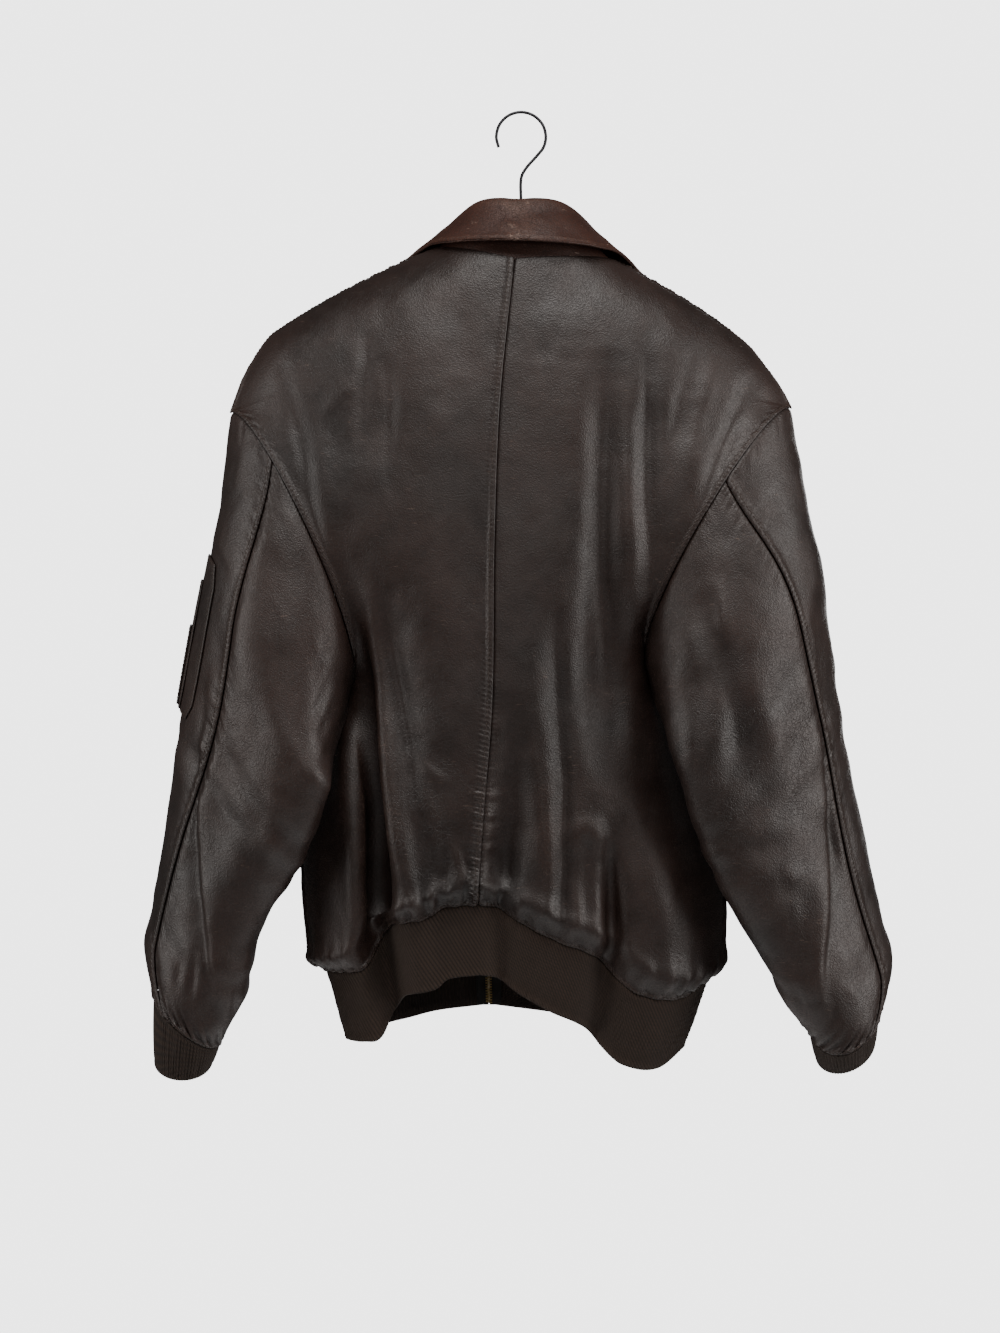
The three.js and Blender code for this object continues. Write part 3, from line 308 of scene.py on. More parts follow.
backCreases = [
    ([(272, 350, 0), (281, 365, 2), (291, 405, 3), (302, 460, 3), (311, 530, 2), (316, 590, 0)], 5, 7),
    ([(300, 395, 0), (318, 440, -2), (326, 520, -3), (333, 600, -3), (338, 700, -3), (343, 800, -3),
      (347, 920, 0)], 8, 8),
    ([(366, 322, 0), (364, 345, 3.5), (361, 385, 4), (360, 430, 2), (358, 480, 0)], 4, 7),
    ([(379, 352, 0), (386, 372, 2.5), (390, 400, 2.5), (388, 450, 1.5), (386, 500, 0)], 4, 6),
    ([(352, 372, 0), (343, 387, -2), (328, 403, -2), (313, 413, 0)], 6, 6),
    ([(350, 610, 0), (355, 660, -4), (357, 740, -6), (358, 830, -7), (358, 920, -6), (358, 955, 0)], 9, 4),
    ([(358, 620, 0), (365, 680, 8), (369, 760, 15), (372, 850, 19), (374, 930, 16), (375, 962, 0)], 5.5, 7.5),
    ([(366, 575, 0), (372, 616, -5), (380, 700, -8), (389, 780, -9), (397, 840, -8), (404, 880, -6),
      (408, 925, 0)], 7, 7),
    ([(381, 590, 0), (388, 640, 5), (397, 690, 6), (406, 740, 6), (412, 775, 4), (417, 810, 0)], 5, 9),
    ([(408, 745, 0), (416, 757, -2), (428, 768, -2.5), (442, 779, -2), (452, 786, 0)], 8, 3),
    ([(414, 765, 0), (424, 790, -2.5), (436, 825, -3), (446, 860, -2), (450, 890, 0)], 6, 6),
    ([(430, 800, 0), (440, 830, 2), (447, 860, 3), (444, 890, 4), (440, 908, 0)], 4, 4),
    ([(446, 835, 0), (455, 857, -3), (461, 875, -3), (467, 893, 0)], 4, 4),
    ([(462, 840, 0), (468, 870, 2), (466, 895, 2.5), (460, 905, 0)], 3, 4),
    ([(418, 880, 0), (424, 905, 2.5), (428, 918, 0)], 3, 3),
    ([(404, 895, 0), (408, 915, 2.5), (411, 925, 0)], 3, 3),
    ([(440, 340, 0), (438, 420, -2), (436, 520, -2.5), (432, 600, -2), (430, 660, 0)], 14, 14),
    ([(476, 330, 0), (474, 420, 2), (470, 520, 2), (466, 620, 1.5), (462, 700, 0)], 12, 12),
    ([(512, 690, 0), (514, 750, 6), (511, 830, 10), (506, 880, 7), (503, 912, 0)], 11, 15),
    ([(527, 600, 0), (528, 660, -2), (533, 730, -3), (540, 790, -4), (547, 860, -4), (552, 905, -3),
      (555, 935, 0)], 10, 9),
    ([(553, 580, 0), (556, 640, 3), (560, 720, 4), (566, 780, 5), (565, 860, 6), (562, 915, 5),
      (561, 938, 0)], 7, 5),
    ([(570, 866, 0), (574, 838, -3), (584, 829, -4), (592, 830, -4), (601, 840, -3), (606, 862, 0)], 8, 8),
    ([(586, 842, 0), (586, 862, 3.5), (588, 890, 3), (590, 920, 0)], 8, 8),
    ([(575, 880, 0), (577, 905, -3), (580, 935, 0)], 4, 4),
    ([(596, 885, 0), (598, 910, -2.5), (602, 945, 0)], 4, 5),
    ([(607, 820, 0), (612, 870, 5), (614, 920, 8), (613, 965, 6), (613, 985, 0)], 5, 3.5),
    ([(626, 380, 0), (629, 450, -3), (630, 540, -3.5), (633, 620, -4), (634, 700, -3.5), (634, 780, -2),
      (636, 850, 0)], 8, 9),
    ([(604, 345, 0), (602, 420, 3), (600, 500, 3), (603, 580, 3.5), (611, 650, 3), (614, 720, 2.5),
      (612, 790, 0)], 10, 9),
    ([(645, 320, 0), (648, 370, 4), (650, 420, 4), (650, 470, 2), (650, 520, 0)], 5, 7),
    ([(706, 335, 0), (697, 357, 3), (684, 395, 4), (673, 445, 4), (667, 520, 3), (664, 570, 0)], 7, 9),
    ([(722, 352, 0), (708, 392, -2.5), (694, 440, -2.5), (686, 500, 0)], 7, 7),
    ([(758, 362, 0), (752, 380, 4), (735, 425, 5), (716, 466, 5), (704, 505, 0)], 6, 8),
    ([(540, 335, 0), (542, 348, 1.5), (545, 372, 1.5), (546, 385, 0)], 3, 4),
    ([(505, 352, 0), (540, 356, .5), (590, 359, .5), (630, 358, 0)], 4, 5),
    ([(668, 600, 0), (672, 680, 3), (680, 760, 4), (700, 850, 3), (712, 900, 0)], 10, 10),
    ([(640, 860, 0), (660, 900, -2), (690, 950, -2), (705, 975, 0)], 16, 16),
    ([(640, 950, 0), (655, 965, 1), (668, 985, 0)], 5, 5),
    ([(555, 470, 0), (553, 540, -2), (552, 600, -1.5), (550, 640, 0)], 9, 9),
]
frontCreases = [
    ([(330, 420, 0), (350, 480, 3), (360, 560, 3), (362, 660, 0)], 8, 10),
    ([(690, 420, 0), (672, 490, 3), (660, 580, 3), (655, 660, 0)], 10, 8),
    ([(430, 760, 0), (428, 850, -4), (426, 940, 0)], 10, 10),
    ([(620, 780, 0), (622, 860, -4), (624, 950, 0)], 10, 10),
    ([(400, 820, 0), (396, 890, 4), (394, 960, 0)], 6, 7),
    ([(660, 820, 0), (664, 890, 4), (666, 960, 0)], 7, 6),
]
sleeveCreases = {
    "left": [
        ([(212, 640, 0), (205, 690, -2), (198, 755, -4), (196, 830, -5), (200, 890, -5), (207, 950, -4),
          (215, 1000, -3), (220, 1030, 0)], 3, 14),
        ([(202, 700, 0), (191, 760, 3), (189, 830, 4), (193, 895, 4), (200, 950, 3), (206, 1000, 0)], 8, 4),
        ([(276, 480, 0), (262, 560, -2), (250, 620, -2.5), (243, 690, -2), (240, 760, 0)], 12, 14),
        ([(330, 640, 0), (318, 665, 1.6), (308, 690, 0)], 2.5, 4),
        ([(333, 665, 0), (322, 695, 1.8), (312, 722, 0)], 2.5, 4),
        ([(334, 695, 0), (324, 725, 1.6), (316, 750, 0)], 2.5, 4),
        ([(334, 730, 0), (326, 752, 1.3), (320, 770, 0)], 2.5, 4),
        ([(286, 640, 0), (276, 662, 1.2), (268, 690, 0)], 2.5, 4),
        ([(300, 760, 0), (318, 778, -3), (331, 790, -4), (322, 806, 0)], 9, 9),
        ([(276, 700, 0), (274, 780, -2), (272, 860, -2.5), (262, 930, -2), (250, 985, 0)], 10, 10),
        ([(300, 830, 0), (280, 860, 2.5), (262, 905, 3), (252, 950, 2), (246, 990, 0)], 8, 8),
        ([(176, 955, 0), (172, 980, 2), (170, 1000, 0)], 3, 3),
        ([(190, 950, 0), (187, 985, 2.5), (184, 1010, 0)], 3, 3),
        ([(200, 985, 0), (204, 1010, 2), (206, 1030, 0)], 3, 3),
        ([(232, 985, 0), (228, 1010, 2.5), (224, 1030, 0)], 3, 3),
        ([(218, 1015, 0), (210, 1030, -3), (196, 1042, -3), (188, 1046, 0)], 6, 6)],
    "right": [
        ([(816, 600, 0), (818, 660, -2), (821, 710, -3), (827, 790, -4), (831, 860, -5), (829, 915, -5),
          (824, 970, -4), (827, 1025, 0)], 12, 3),
        ([(824, 690, 0), (829, 740, 2), (836, 800, 3), (840, 860, 4), (838, 915, 4), (832, 970, 2),
          (832, 1010, 0)], 4, 8),
        ([(700, 590, 0), (706, 620, 4), (722, 665, 6), (738, 710, 6), (740, 760, 4), (730, 795, 0)], 10, 12),
        ([(716, 575, 0), (722, 600, -3), (724, 625, -3), (728, 650, 0)], 5, 5),
        ([(765, 690, 0), (770, 720, -2), (778, 760, -2), (776, 790, 0)], 12, 12),
        ([(700, 830, 0), (730, 845, 2), (760, 850, 2.5), (800, 845, 0)], 8, 8),
        ([(780, 870, 0), (795, 880, -2.5), (812, 875, 0)], 6, 6),
        ([(700, 700, 0), (690, 740, -2), (694, 790, 0)], 8, 8),
        ([(798, 985, 0), (806, 1010, 2.5), (812, 1035, 0)], 3, 3),
        ([(850, 985, 0), (858, 998, -1.5), (866, 1008, 0)], 4, 4),
        ([(842, 1000, 0), (838, 1025, 2), (834, 1042, 0)], 3, 3)],
}
sleeveFrontCreases = {
    "left": [
        ([(260, 500, 0), (240, 560, 3), (232, 620, 0)], 8, 8),
        ([(300, 640, 0), (270, 680, 3), (240, 700, 0)], 5, 6),
        ([(290, 720, 0), (255, 750, 3), (225, 760, 0)], 5, 6),
        ([(250, 880, 0), (225, 930, 3), (205, 990, 0)], 7, 7)],
    "right": [
        ([(735, 500, 0), (760, 560, 3), (772, 620, 0)], 8, 8),
        ([(700, 640, 0), (735, 680, 3), (770, 695, 0)], 5, 6),
        ([(715, 740, 0), (755, 765, 3), (790, 772, 0)], 5, 6),
        ([(790, 880, 0), (812, 930, 3), (830, 985, 0)], 7, 7)],
}

# cloth: a grid of points, displaced, then given its thickness and a rounded rim

def spaced(length, step, startStep, endStep, growth=.12):
    # places from 0 to 1 along a length in mm, closer together near the seams at both ends
    marks = [0.0]
    while marks[-1] < length:
        here = marks[-1]
        marks.append(here + min(step, startStep + here * growth, endStep + (length - here) * growth))
    return np.array(marks) / marks[-1]

def outward(p, inside):
    # a grid's normals, turned away from its inside
    n = unit(np.cross(np.gradient(p, axis=1), np.gradient(p, axis=0)))
    return n if np.sum(n * (p - inside)) > 0 else -n

def edgeRuns(p):
    # how far each point of a grid is from its four edges, along the cloth
    def run(axis):
        step = np.linalg.norm(np.diff(p, axis=axis), axis=-1)
        start = np.zeros(p.shape[:2])
        if axis:
            start[:, 1:] = np.cumsum(step, axis=1)
            return start, start[:, -1:] - start
        start[1:] = np.cumsum(step, axis=0)
        return start, start[-1:] - start
    start, end = run(1)
    top, bottom = run(0)
    return {"start": start, "end": end, "top": top, "bottom": bottom}

def lapped(d, wide, high):
    # the edge that lies on top: a raised strip, a groove under its stitches, and a rolled edge
    strip = 1.4 * high * (1 - smoothstep(d, wide - .9, wide + 1.1))
    return strip - .7 * gauss((d - wide + .7) / .8) - gauss(d / 1.1)

def tucked(d):
    # the edge that goes under its neighbour
    return -1.8 * np.exp(-d / 2.2)

def puckers(d, s, reach, height, pitch):
    # uneven gathers along a seam: d is the distance from it and s the way along it
    wave = np.sin(2 * np.pi * s / pitch + 1.7 * np.sin(s / 29))
    wave = wave + .6 * np.sin(2 * np.pi * s / (.57 * pitch) + 2 * np.sin(s / 17))
    return height * wave * gauss((d - .3 * reach) / (.55 * reach)) * (.6 + .4 * np.sin(s / 41 + 1))

chance = np.random.default_rng(7).uniform(-1, 1, 4096)

def undulate(p, seed, height, acrossWave, downWave):
    # soft random swells, about a wavelength apart
    q = p / np.array([acrossWave, acrossWave, downWave]) + seed * 17.3
    low = np.floor(q).astype(np.int64)
    f = q - low
    f = f ** 3 * (f * (f * 6 - 15) + 10)
    total = np.zeros(p.shape[:2])
    for corner in range(8):
        step = np.array([corner & 1, corner >> 1 & 1, corner >> 2 & 1])
        i = low + step
        pick = (i[..., 0] * 73856093 ^ i[..., 1] * 19349663 ^ i[..., 2] * 83492791) & 4095
        total += chance[pick] * np.prod(np.where(step, f, 1 - f), -1)
    return height * 1.6 * total

def blurred(a, times):
    for _ in range(times):
        a = np.pad(a, 1, mode="edge")
        a = (a[1:-1, 1:-1] * 2 + a[:-2, 1:-1] + a[2:, 1:-1] + a[1:-1, :-2] + a[1:-1, 2:]) / 6
    return a

def meshObject(name, verts, faces, looks, slots=None, uv=None, values=None):
    mesh = bpy.data.meshes.new(name)
    mesh.from_pydata((np.asarray(verts) * mm).tolist(), [], faces)
    for look in looks:
        mesh.materials.append(look)
    if slots is not None:
        mesh.polygons.foreach_set("material_index", np.asarray(slots, np.int32))
    if uv is not None:
        loopVerts = np.zeros(len(mesh.loops), np.int32)
        mesh.loops.foreach_get("vertex_index", loopVerts)
        flat = (np.asarray(uv)[loopVerts] * mm).ravel().astype(np.float32)
        mesh.uv_layers.new(name="cut").data.foreach_set("uv", flat)
    for key, value in (values or {}).items():
        mesh.attributes.new(key, "FLOAT", "POINT").data.foreach_set("value", np.asarray(value, np.float32))
    mesh.polygons.foreach_set("use_smooth", np.ones(len(mesh.polygons), bool))
    mesh.update()
    obj = bpy.data.objects.new(name, mesh)
    bpy.context.scene.collection.objects.link(obj)
    return obj

def tubeFaces(first, rings, count):
    # the quads between neighbouring rings of a tube
    return [[first + r * count + i, first + r * count + (i + 1) % count,
             first + (r + 1) * count + (i + 1) % count, first + (r + 1) * count + i]
            for r in range(rings - 1) for i in range(count)]

surfaceMarks = ("wear", "crackle", "ladderDown", "ladderAcross")  # what a shell tells its leather

def shell(name, mid, inside, thickness, looks, wear, crackle=None, ladders=(None, None),
          tube=False, laid=None):
    # outer and inner faces joined by a rounded rim, whose crown lies on the edge of the grid
    rows, cols = mid.shape[:2]
    half = thickness / 2
    across, down = np.gradient(mid, axis=1), np.gradient(mid, axis=0)
    if tube:
        across = (np.roll(mid, -1, 1) - np.roll(mid, 1, 1)) / 2
    n = unit(np.cross(across, down))
    turned = np.sum(n * (mid - inside)) < 0
    n = -n if turned else n
    ids = np.arange(rows * cols).reshape(rows, cols)
    flatMid, flatN = mid.reshape(-1, 3), n.reshape(-1, 3)
    if tube:
        loops = [(ids[0], mid[0] - mid[1]), (ids[-1][::-1], (mid[-1] - mid[-2])[::-1])]
    else:
        away = np.zeros(mid.shape)
        away[0] += unit(mid[0] - mid[1])
        away[-1] += unit(mid[-1] - mid[-2])
        away[:, 0] += unit(mid[:, 0] - mid[:, 1])
        away[:, -1] += unit(mid[:, -1] - mid[:, -2])
        ring = np.concatenate([ids[0, :-1], ids[:-1, -1], ids[-1, :0:-1], ids[:0:-1, 0]])
        loops = [(ring, away.reshape(-1, 3)[ring])]
    base = flatMid.copy()
    rims = []
    for ring, away in loops:
        away = unit(away - flatN[ring] * np.sum(away * flatN[ring], -1, keepdims=True))
        base[ring] -= away * half
        rims.append((ring, away))
    verts = [base + flatN * half, base - flatN * half]
    count = rows * cols
    faces, slots = [], []

    def quads(a, b, c, d, slot, flip):
        q = np.stack([a, d, c, b] if flip else [a, b, c, d], -1).reshape(-1, 4)
        faces.extend(q.tolist())
        slots.extend([slot] * len(q))
    beside = np.roll(ids, -1, 1) if tube else ids[:, 1:]
    here = ids if tube else ids[:, :-1]
    quads(here[:-1], beside[:-1], beside[1:], here[1:], 0, turned)
    quads(here[:-1] + count, beside[:-1] + count, beside[1:] + count, here[1:] + count, 1, not turned)
    runs = edgeRuns(mid if laid is None else laid)
    uv = np.stack([runs["start"], runs["top"]], -1).reshape(-1, 2)
    parents = [np.arange(count), np.arange(count)]
    total = 2 * count
    for ring, away in rims:
        levels = [ring]
        for turn in (45, 90, 135):
            c, s = math.cos(math.radians(turn)), math.sin(math.radians(turn))
            verts.append(base[ring] + flatN[ring] * half * c + away * half * s)
            levels.append(np.arange(total, total + len(ring)))
            parents.append(ring)
            total += len(ring)
        levels.append(ring + count)
        for a, b in zip(levels[:-1], levels[1:]):
            quads(a, b, np.roll(b, -1), np.roll(a, -1), 0, turned)
    parents = np.concatenate(parents)
    values = {}
    for key, value in zip(surfaceMarks, (wear, crackle, *ladders)):
        values[key] = (np.zeros(count) if value is None else np.asarray(value, float).ravel())[parents]
    obj = meshObject(name, np.vstack(verts), faces, looks, slots, uv[parents], values)
    return obj, mid + n * half, n

def besideEdge(outer, normal, edge, away, fromPart=0, toPart=1):
    # the line on a panel that runs a distance away from one of its edges
    if edge in ("top", "bottom"):
        outer, normal = outer.transpose(1, 0, 2), normal.transpose(1, 0, 2)
    if edge in ("end", "bottom"):
        outer, normal = outer[:, ::-1], normal[:, ::-1]
    steps = np.linalg.norm(np.diff(outer, axis=1), axis=-1)
    run = np.concatenate([np.zeros((len(outer), 1)), np.cumsum(steps, 1)], 1)
    low, high = int(fromPart * (len(outer) - 1)), int(toPart * (len(outer) - 1)) + 1
    line, up = [], []
    for i in range(low, high):
        line.append([np.interp(away, run[i], outer[i, :, k]) for k in range(3)])
        up.append([np.interp(away, run[i], normal[i, :, k]) for k in range(3)])
    return np.array(line), unit(np.array(up))

thread = {"pitch": 4.0, "long": 3.0, "radius": .36, "sides": 5, "lift": .12}

def stitchRow(lines):
    # each stitch is a short thread that comes up, lies on the leather and goes down again
    verts, faces = [], []
    ring = np.arange(thread["sides"]) * 2 * np.pi / thread["sides"]
    height = np.array([-.4, thread["lift"], thread["lift"], -.4])[:, None]
    for line, up in lines:
        run = runAlong(line)
        for s in np.arange(1.5, run[-1] - thread["long"] - 1, thread["pitch"]):
            marks = s + thread["long"] * np.array([0, .22, .78, 1])
            u = unit(pointsAt(marks, run, up))
            p = pointsAt(marks, run, line) + u * height
            along = unit(np.gradient(p, axis=0))
            side = unit(np.cross(along, u))
            over = np.cross(side, along)
            faces.extend(tubeFaces(len(verts), len(p), thread["sides"]))
            for at, across, rise in zip(p, side, over):
                verts.extend(at + thread["radius"] * (np.cos(a) * across + np.sin(a) * rise) for a in ring)
    return verts, faces

# materials

def newNode(tree, kind, values=None, **settings):
    made = tree.nodes.new(kind)
    for key, value in settings.items():
        setattr(made, key, value)
    for key, value in (values or {}).items():
        made.inputs[key].default_value = value
    return made

def group(name, inputs, outputs):
    tree = bpy.data.node_groups.new(name, "ShaderNodeTree")
    for label, kind in inputs:
        tree.interface.new_socket(name=label, in_out="INPUT", socket_type="NodeSocket" + kind)
    for label, kind in outputs:
        tree.interface.new_socket(name=label, in_out="OUTPUT", socket_type="NodeSocket" + kind)
    return tree, tree.nodes.new("NodeGroupInput").outputs, tree.nodes.new("NodeGroupOutput").inputs

def calc(tree, operation, a, b=None, c=None):
    made = newNode(tree, "ShaderNodeMath", operation=operation)
    for i, value in enumerate((a, b, c)):
        if value is None:
            continue
        if isinstance(value, (int, float)):
            made.inputs[i].default_value = value
        else:
            tree.links.new(value, made.inputs[i])
    return made.outputs[0]

def ramp(tree, value, low, high, toLow=0, toHigh=1):
    made = newNode(tree, "ShaderNodeMapRange",
                   {"From Min": low, "From Max": high, "To Min": toLow, "To Max": toHigh})
    tree.links.new(value, made.inputs["Value"])
    return made.outputs["Result"]

def blend(tree, amount, a, b, how="MIX"):
    made = newNode(tree, "ShaderNodeMix", data_type="RGBA", blend_type=how)
    for socket, value in ((made.inputs[0], amount), (made.inputs[6], a), (made.inputs[7], b)):
        if isinstance(value, (int, float, tuple)):
            socket.default_value = value
        else:
            tree.links.new(value, socket)
    return made.outputs[2]

def noise(tree, vector, scale, detail=3, rough=.55):
    made = newNode(tree, "ShaderNodeTexNoise", {"Scale": scale, "Detail": detail, "Roughness": rough})
    tree.links.new(vector, made.inputs["Vector"])
    return made.outputs["Fac"]

def cells(tree, vector, scale, feature="F1"):
    made = newNode(tree, "ShaderNodeTexVoronoi", {"Scale": scale}, feature=feature)
    tree.links.new(vector, made.inputs["Vector"])
    return made.outputs["Distance"]

def arithmetic(tree):
    return [partial(calc, tree, operation) for operation in ("MULTIPLY", "ADD", "SUBTRACT")]

# scuffs and cracks are marks on the leather; the third colour is painted shade for the hollows between the
# pebbles of the grain
leatherMarks = {"scuff": (.36, .25, .2, 1), "crack": (.006, .004, .003, 1), "pebbleHollowShade": (.008, .005, .004, 1)}

def wornLeatherGroup():
    # pebbled grain, fine crackle, scuffs and rubbed ridges, with painted shade in the hollows between the
    # pebbles
    tree, given, out = group("wornLeather", [
        ("dark", "Color"), ("light", "Color"), ("rubbed", "Color"), ("wear", "Float"), ("crackle", "Float"),
        ("grain", "Float"), ("scratches", "Float"), ("smooth", "Float"), ("ladderDown", "Float"),
        ("ladderAcross", "Float")],
        [("colour", "Color"), ("roughness", "Float"), ("height", "Float")])
    times, plus, minus = arithmetic(tree)
    place = newNode(tree, "ShaderNodeTexCoord").outputs["Object"]
    drift = newNode(tree, "ShaderNodeTexNoise", {"Scale": 260, "Detail": 2})
    tree.links.new(place, drift.inputs["Vector"])
    push = newNode(tree, "ShaderNodeVectorMath", {1: (.0016, .0016, .0016)}, operation="MULTIPLY_ADD")
    tree.links.new(drift.outputs["Color"], push.inputs[0])
    tree.links.new(place, push.inputs[2])
    wobbly = push.outputs[0]
    pebbles = newNode(tree, "ShaderNodeTexVoronoi", {"Smoothness": .35}, feature="SMOOTH_F1")
    tree.links.new(wobbly, pebbles.inputs["Vector"])
    tree.links.new(given["grain"], pebbles.inputs["Scale"])
    domes = ramp(tree, pebbles.outputs["Distance"], 0, .75, 1, 0)
    fine = ramp(tree, cells(tree, wobbly, 1250), 0, .7, 1, 0)
    broad = noise(tree, place, 6.5, 4, .55)
    middle = noise(tree, place, 34, 4, .6)
    lines = ramp(tree, cells(tree, wobbly, 210, "DISTANCE_TO_EDGE"), 0, .09, 1, 0)
    patches = ramp(tree, noise(tree, place, 55, 3), .38, .62)
    cracks = times(times(lines, patches), given["crackle"])
    strokes = newNode(tree, "ShaderNodeMapping", {"Rotation": (0, .45, 0), "Scale": (90, 90, 700)})
    tree.links.new(wobbly, strokes.inputs["Vector"])
    streaks = ramp(tree, noise(tree, strokes.outputs[0], 1, 2, .5), .68, .74)
    places = ramp(tree, noise(tree, place, 40, 2), .45, .6)
    scratched = times(times(streaks, places), given["scratches"])
    rubbing = times(given["wear"], ramp(tree, noise(tree, place, 120, 4, .65), .3, .65, .35, 1))
    shade = plus(times(broad, .7), times(middle, .3))
    tone = blend(tree, ramp(tree, shade, .36, .64), given["dark"], given["light"])
    tone = blend(tree, times(rubbing, .6), tone, given["rubbed"])
    frayed = times(times(lines, ramp(tree, noise(tree, place, 75, 3), .5, .62)), given["scratches"])
    scratched = calc(tree, "MAXIMUM", scratched, times(frayed, ramp(tree, given["wear"], .3, .6)))
    tone = blend(tree, times(scratched, .7), tone, leatherMarks["scuff"])
    tone = blend(tree, times(cracks, .5), tone, leatherMarks["crack"])
    # painted shade: the hollows between the pebbles are coloured darker, and made rougher
    dimples = ramp(tree, domes, .1, .5, .55, 0)
    tone = blend(tree, times(dimples, .7), tone, leatherMarks["pebbleHollowShade"])
    tree.links.new(tone, out["colour"])
    gloss = plus(given["smooth"], ramp(tree, middle, .3, .7, -.05, .07))
    gloss = plus(gloss, times(dimples, .25))
    gloss = minus(gloss, times(rubbing, .06))
    tree.links.new(plus(gloss, times(cracks, .2)), out["roughness"])
    height = plus(times(domes, .6), times(fine, .22))
    height = plus(height, times(middle, .8))
    height = minus(height, times(cracks, .9))
    # short pulled-in ridges beside a row of stitches
    parts = newNode(tree, "ShaderNodeSeparateXYZ")
    tree.links.new(newNode(tree, "ShaderNodeUVMap", uv_map="cut").outputs[0], parts.inputs[0])
    sway = times(middle, 3)
    for way, mark, pitch in ((1, "ladderDown", .0048), (0, "ladderAcross", .0046)):
        turn = calc(tree, "MULTIPLY_ADD", parts.outputs[way], 2 * math.pi / pitch, sway)
        height = plus(height, times(calc(tree, "SINE", turn), given[mark]))
    tree.links.new(minus(height, times(scratched, .25)), out["height"])
    return tree

def knitGroup():
    # ribs that run down the band, each a chain of small loops; the colour is painted lighter on the rib
    # crests and darker in the grooves between them, as painted shade
    tree, given, out = group("ribbedKnit", [
        ("dark", "Color"), ("light", "Color"), ("ribs", "Float"), ("loops", "Float")],
        [("colour", "Color"), ("height", "Float")])
    times, plus = arithmetic(tree)[:2]
    parts = newNode(tree, "ShaderNodeSeparateXYZ")
    tree.links.new(newNode(tree, "ShaderNodeUVMap", uv_map="cut").outputs[0], parts.inputs[0])
    place = newNode(tree, "ShaderNodeTexCoord").outputs["Object"]
    turn = times(parts.outputs[0], given["ribs"])
    ribHeightAndShade = calc(tree, "MULTIPLY_ADD", calc(tree, "SINE", turn), .5, .5)
    lean = times(calc(tree, "ABSOLUTE", calc(tree, "SINE", times(turn, .5))), 2.2)
    climb = plus(times(parts.outputs[1], given["loops"]), lean)
    loop = calc(tree, "MULTIPLY_ADD", calc(tree, "SINE", climb), .5, .5)
    fuzz = noise(tree, place, 900, 3, .7)
    # painted shade: the colour goes from dark in the grooves between ribs to light on their crests, following
    # the rib's height
    tone = blend(tree, times(ribHeightAndShade, ramp(tree, fuzz, .3, .7, .5, 1)), given["dark"], given["light"])
    tone = blend(tree, ramp(tree, noise(tree, place, 24, 4), .5, .75, 0, .35), tone, given["dark"])
    tree.links.new(tone, out["colour"])
    high = plus(ribHeightAndShade, times(loop, .05))
    tree.links.new(plus(high, times(fuzz, .25)), out["height"])
    return tree

def dullMetalGroup():
    # aged metal: soft tarnish and fine rubbing
    tree, given, out = group("dullMetal", [("bright", "Color"), ("tarnish", "Color"), ("amount", "Float")],
                             [("colour", "Color"), ("roughness", "Float"), ("height", "Float")])
    place = newNode(tree, "ShaderNodeTexCoord").outputs["Object"]
    spots = ramp(tree, noise(tree, place, 240, 4, .65), .35, .7)
    mask = calc(tree, "MULTIPLY", spots, given["amount"])
    tree.links.new(blend(tree, mask, given["bright"], given["tarnish"]), out["colour"])
    tree.links.new(calc(tree, "MULTIPLY_ADD", mask, .3, .3), out["roughness"])
    tree.links.new(noise(tree, place, 1400, 3, .7), out["height"])
    return tree

groups = {"leather": wornLeatherGroup(), "knit": knitGroup(), "metal": dullMetalGroup()}

def material(name, kind, values, attributes=(), bump=.0004, strength=.6, **settings):
    made = bpy.data.materials.new(name)
    made.use_nodes = True
    tree = made.node_tree
    shader = tree.nodes["Principled BSDF"]
    for key, value in settings.items():
        shader.inputs[key].default_value = value
    effect = newNode(tree, "ShaderNodeGroup", node_tree=groups[kind])
    for key, value in values.items():
        effect.inputs[key].default_value = value
    for key in attributes:
        reading = newNode(tree, "ShaderNodeAttribute", attribute_name=key)
        tree.links.new(reading.outputs["Fac"], effect.inputs[key])
    relief = newNode(tree, "ShaderNodeBump", {"Strength": strength, "Distance": bump})
    tree.links.new(effect.outputs["height"], relief.inputs["Height"])
    tree.links.new(relief.outputs["Normal"], shader.inputs["Normal"])
    tree.links.new(effect.outputs["colour"], shader.inputs["Base Color"])
    if "roughness" in effect.outputs:
        tree.links.new(effect.outputs["roughness"], shader.inputs["Roughness"])
    return made

hide = {"dark": (.0125, .0076, .0063, 1), "light": (.03, .0158, .0124, 1), "rubbed": (.06, .034, .026, 1),
        "grain": 640, "scratches": .25, "smooth": .375}
collarHide = {"dark": (.031, .0115, .008, 1), "light": (.058, .022, .015, 1), "rubbed": (.13, .064, .042, 1),
              "grain": 640, "scratches": 1.0, "smooth": .46}
flesh = {"dark": (.02, .013, .01, 1), "light": (.035, .023, .018, 1), "rubbed": (.05, .034, .026, 1),
         "wear": 0, "crackle": 0, "grain": 900, "scratches": 0, "smooth": .8}
threadDark = {"dark": (.02, .012, .009, 1), "light": (.045, .028, .02, 1), "rubbed": (.09, .06, .045, 1),
              "wear": .3, "crackle": 0, "grain": 1500, "scratches": 0, "smooth": .7}
plainBar = {"dark": (.008, .008, .008, 1), "light": (.014, .014, .014, 1), "rubbed": (.03, .03, .03, 1),
            "wear": .2, "crackle": 0, "grain": 1600, "scratches": .4, "smooth": .5}
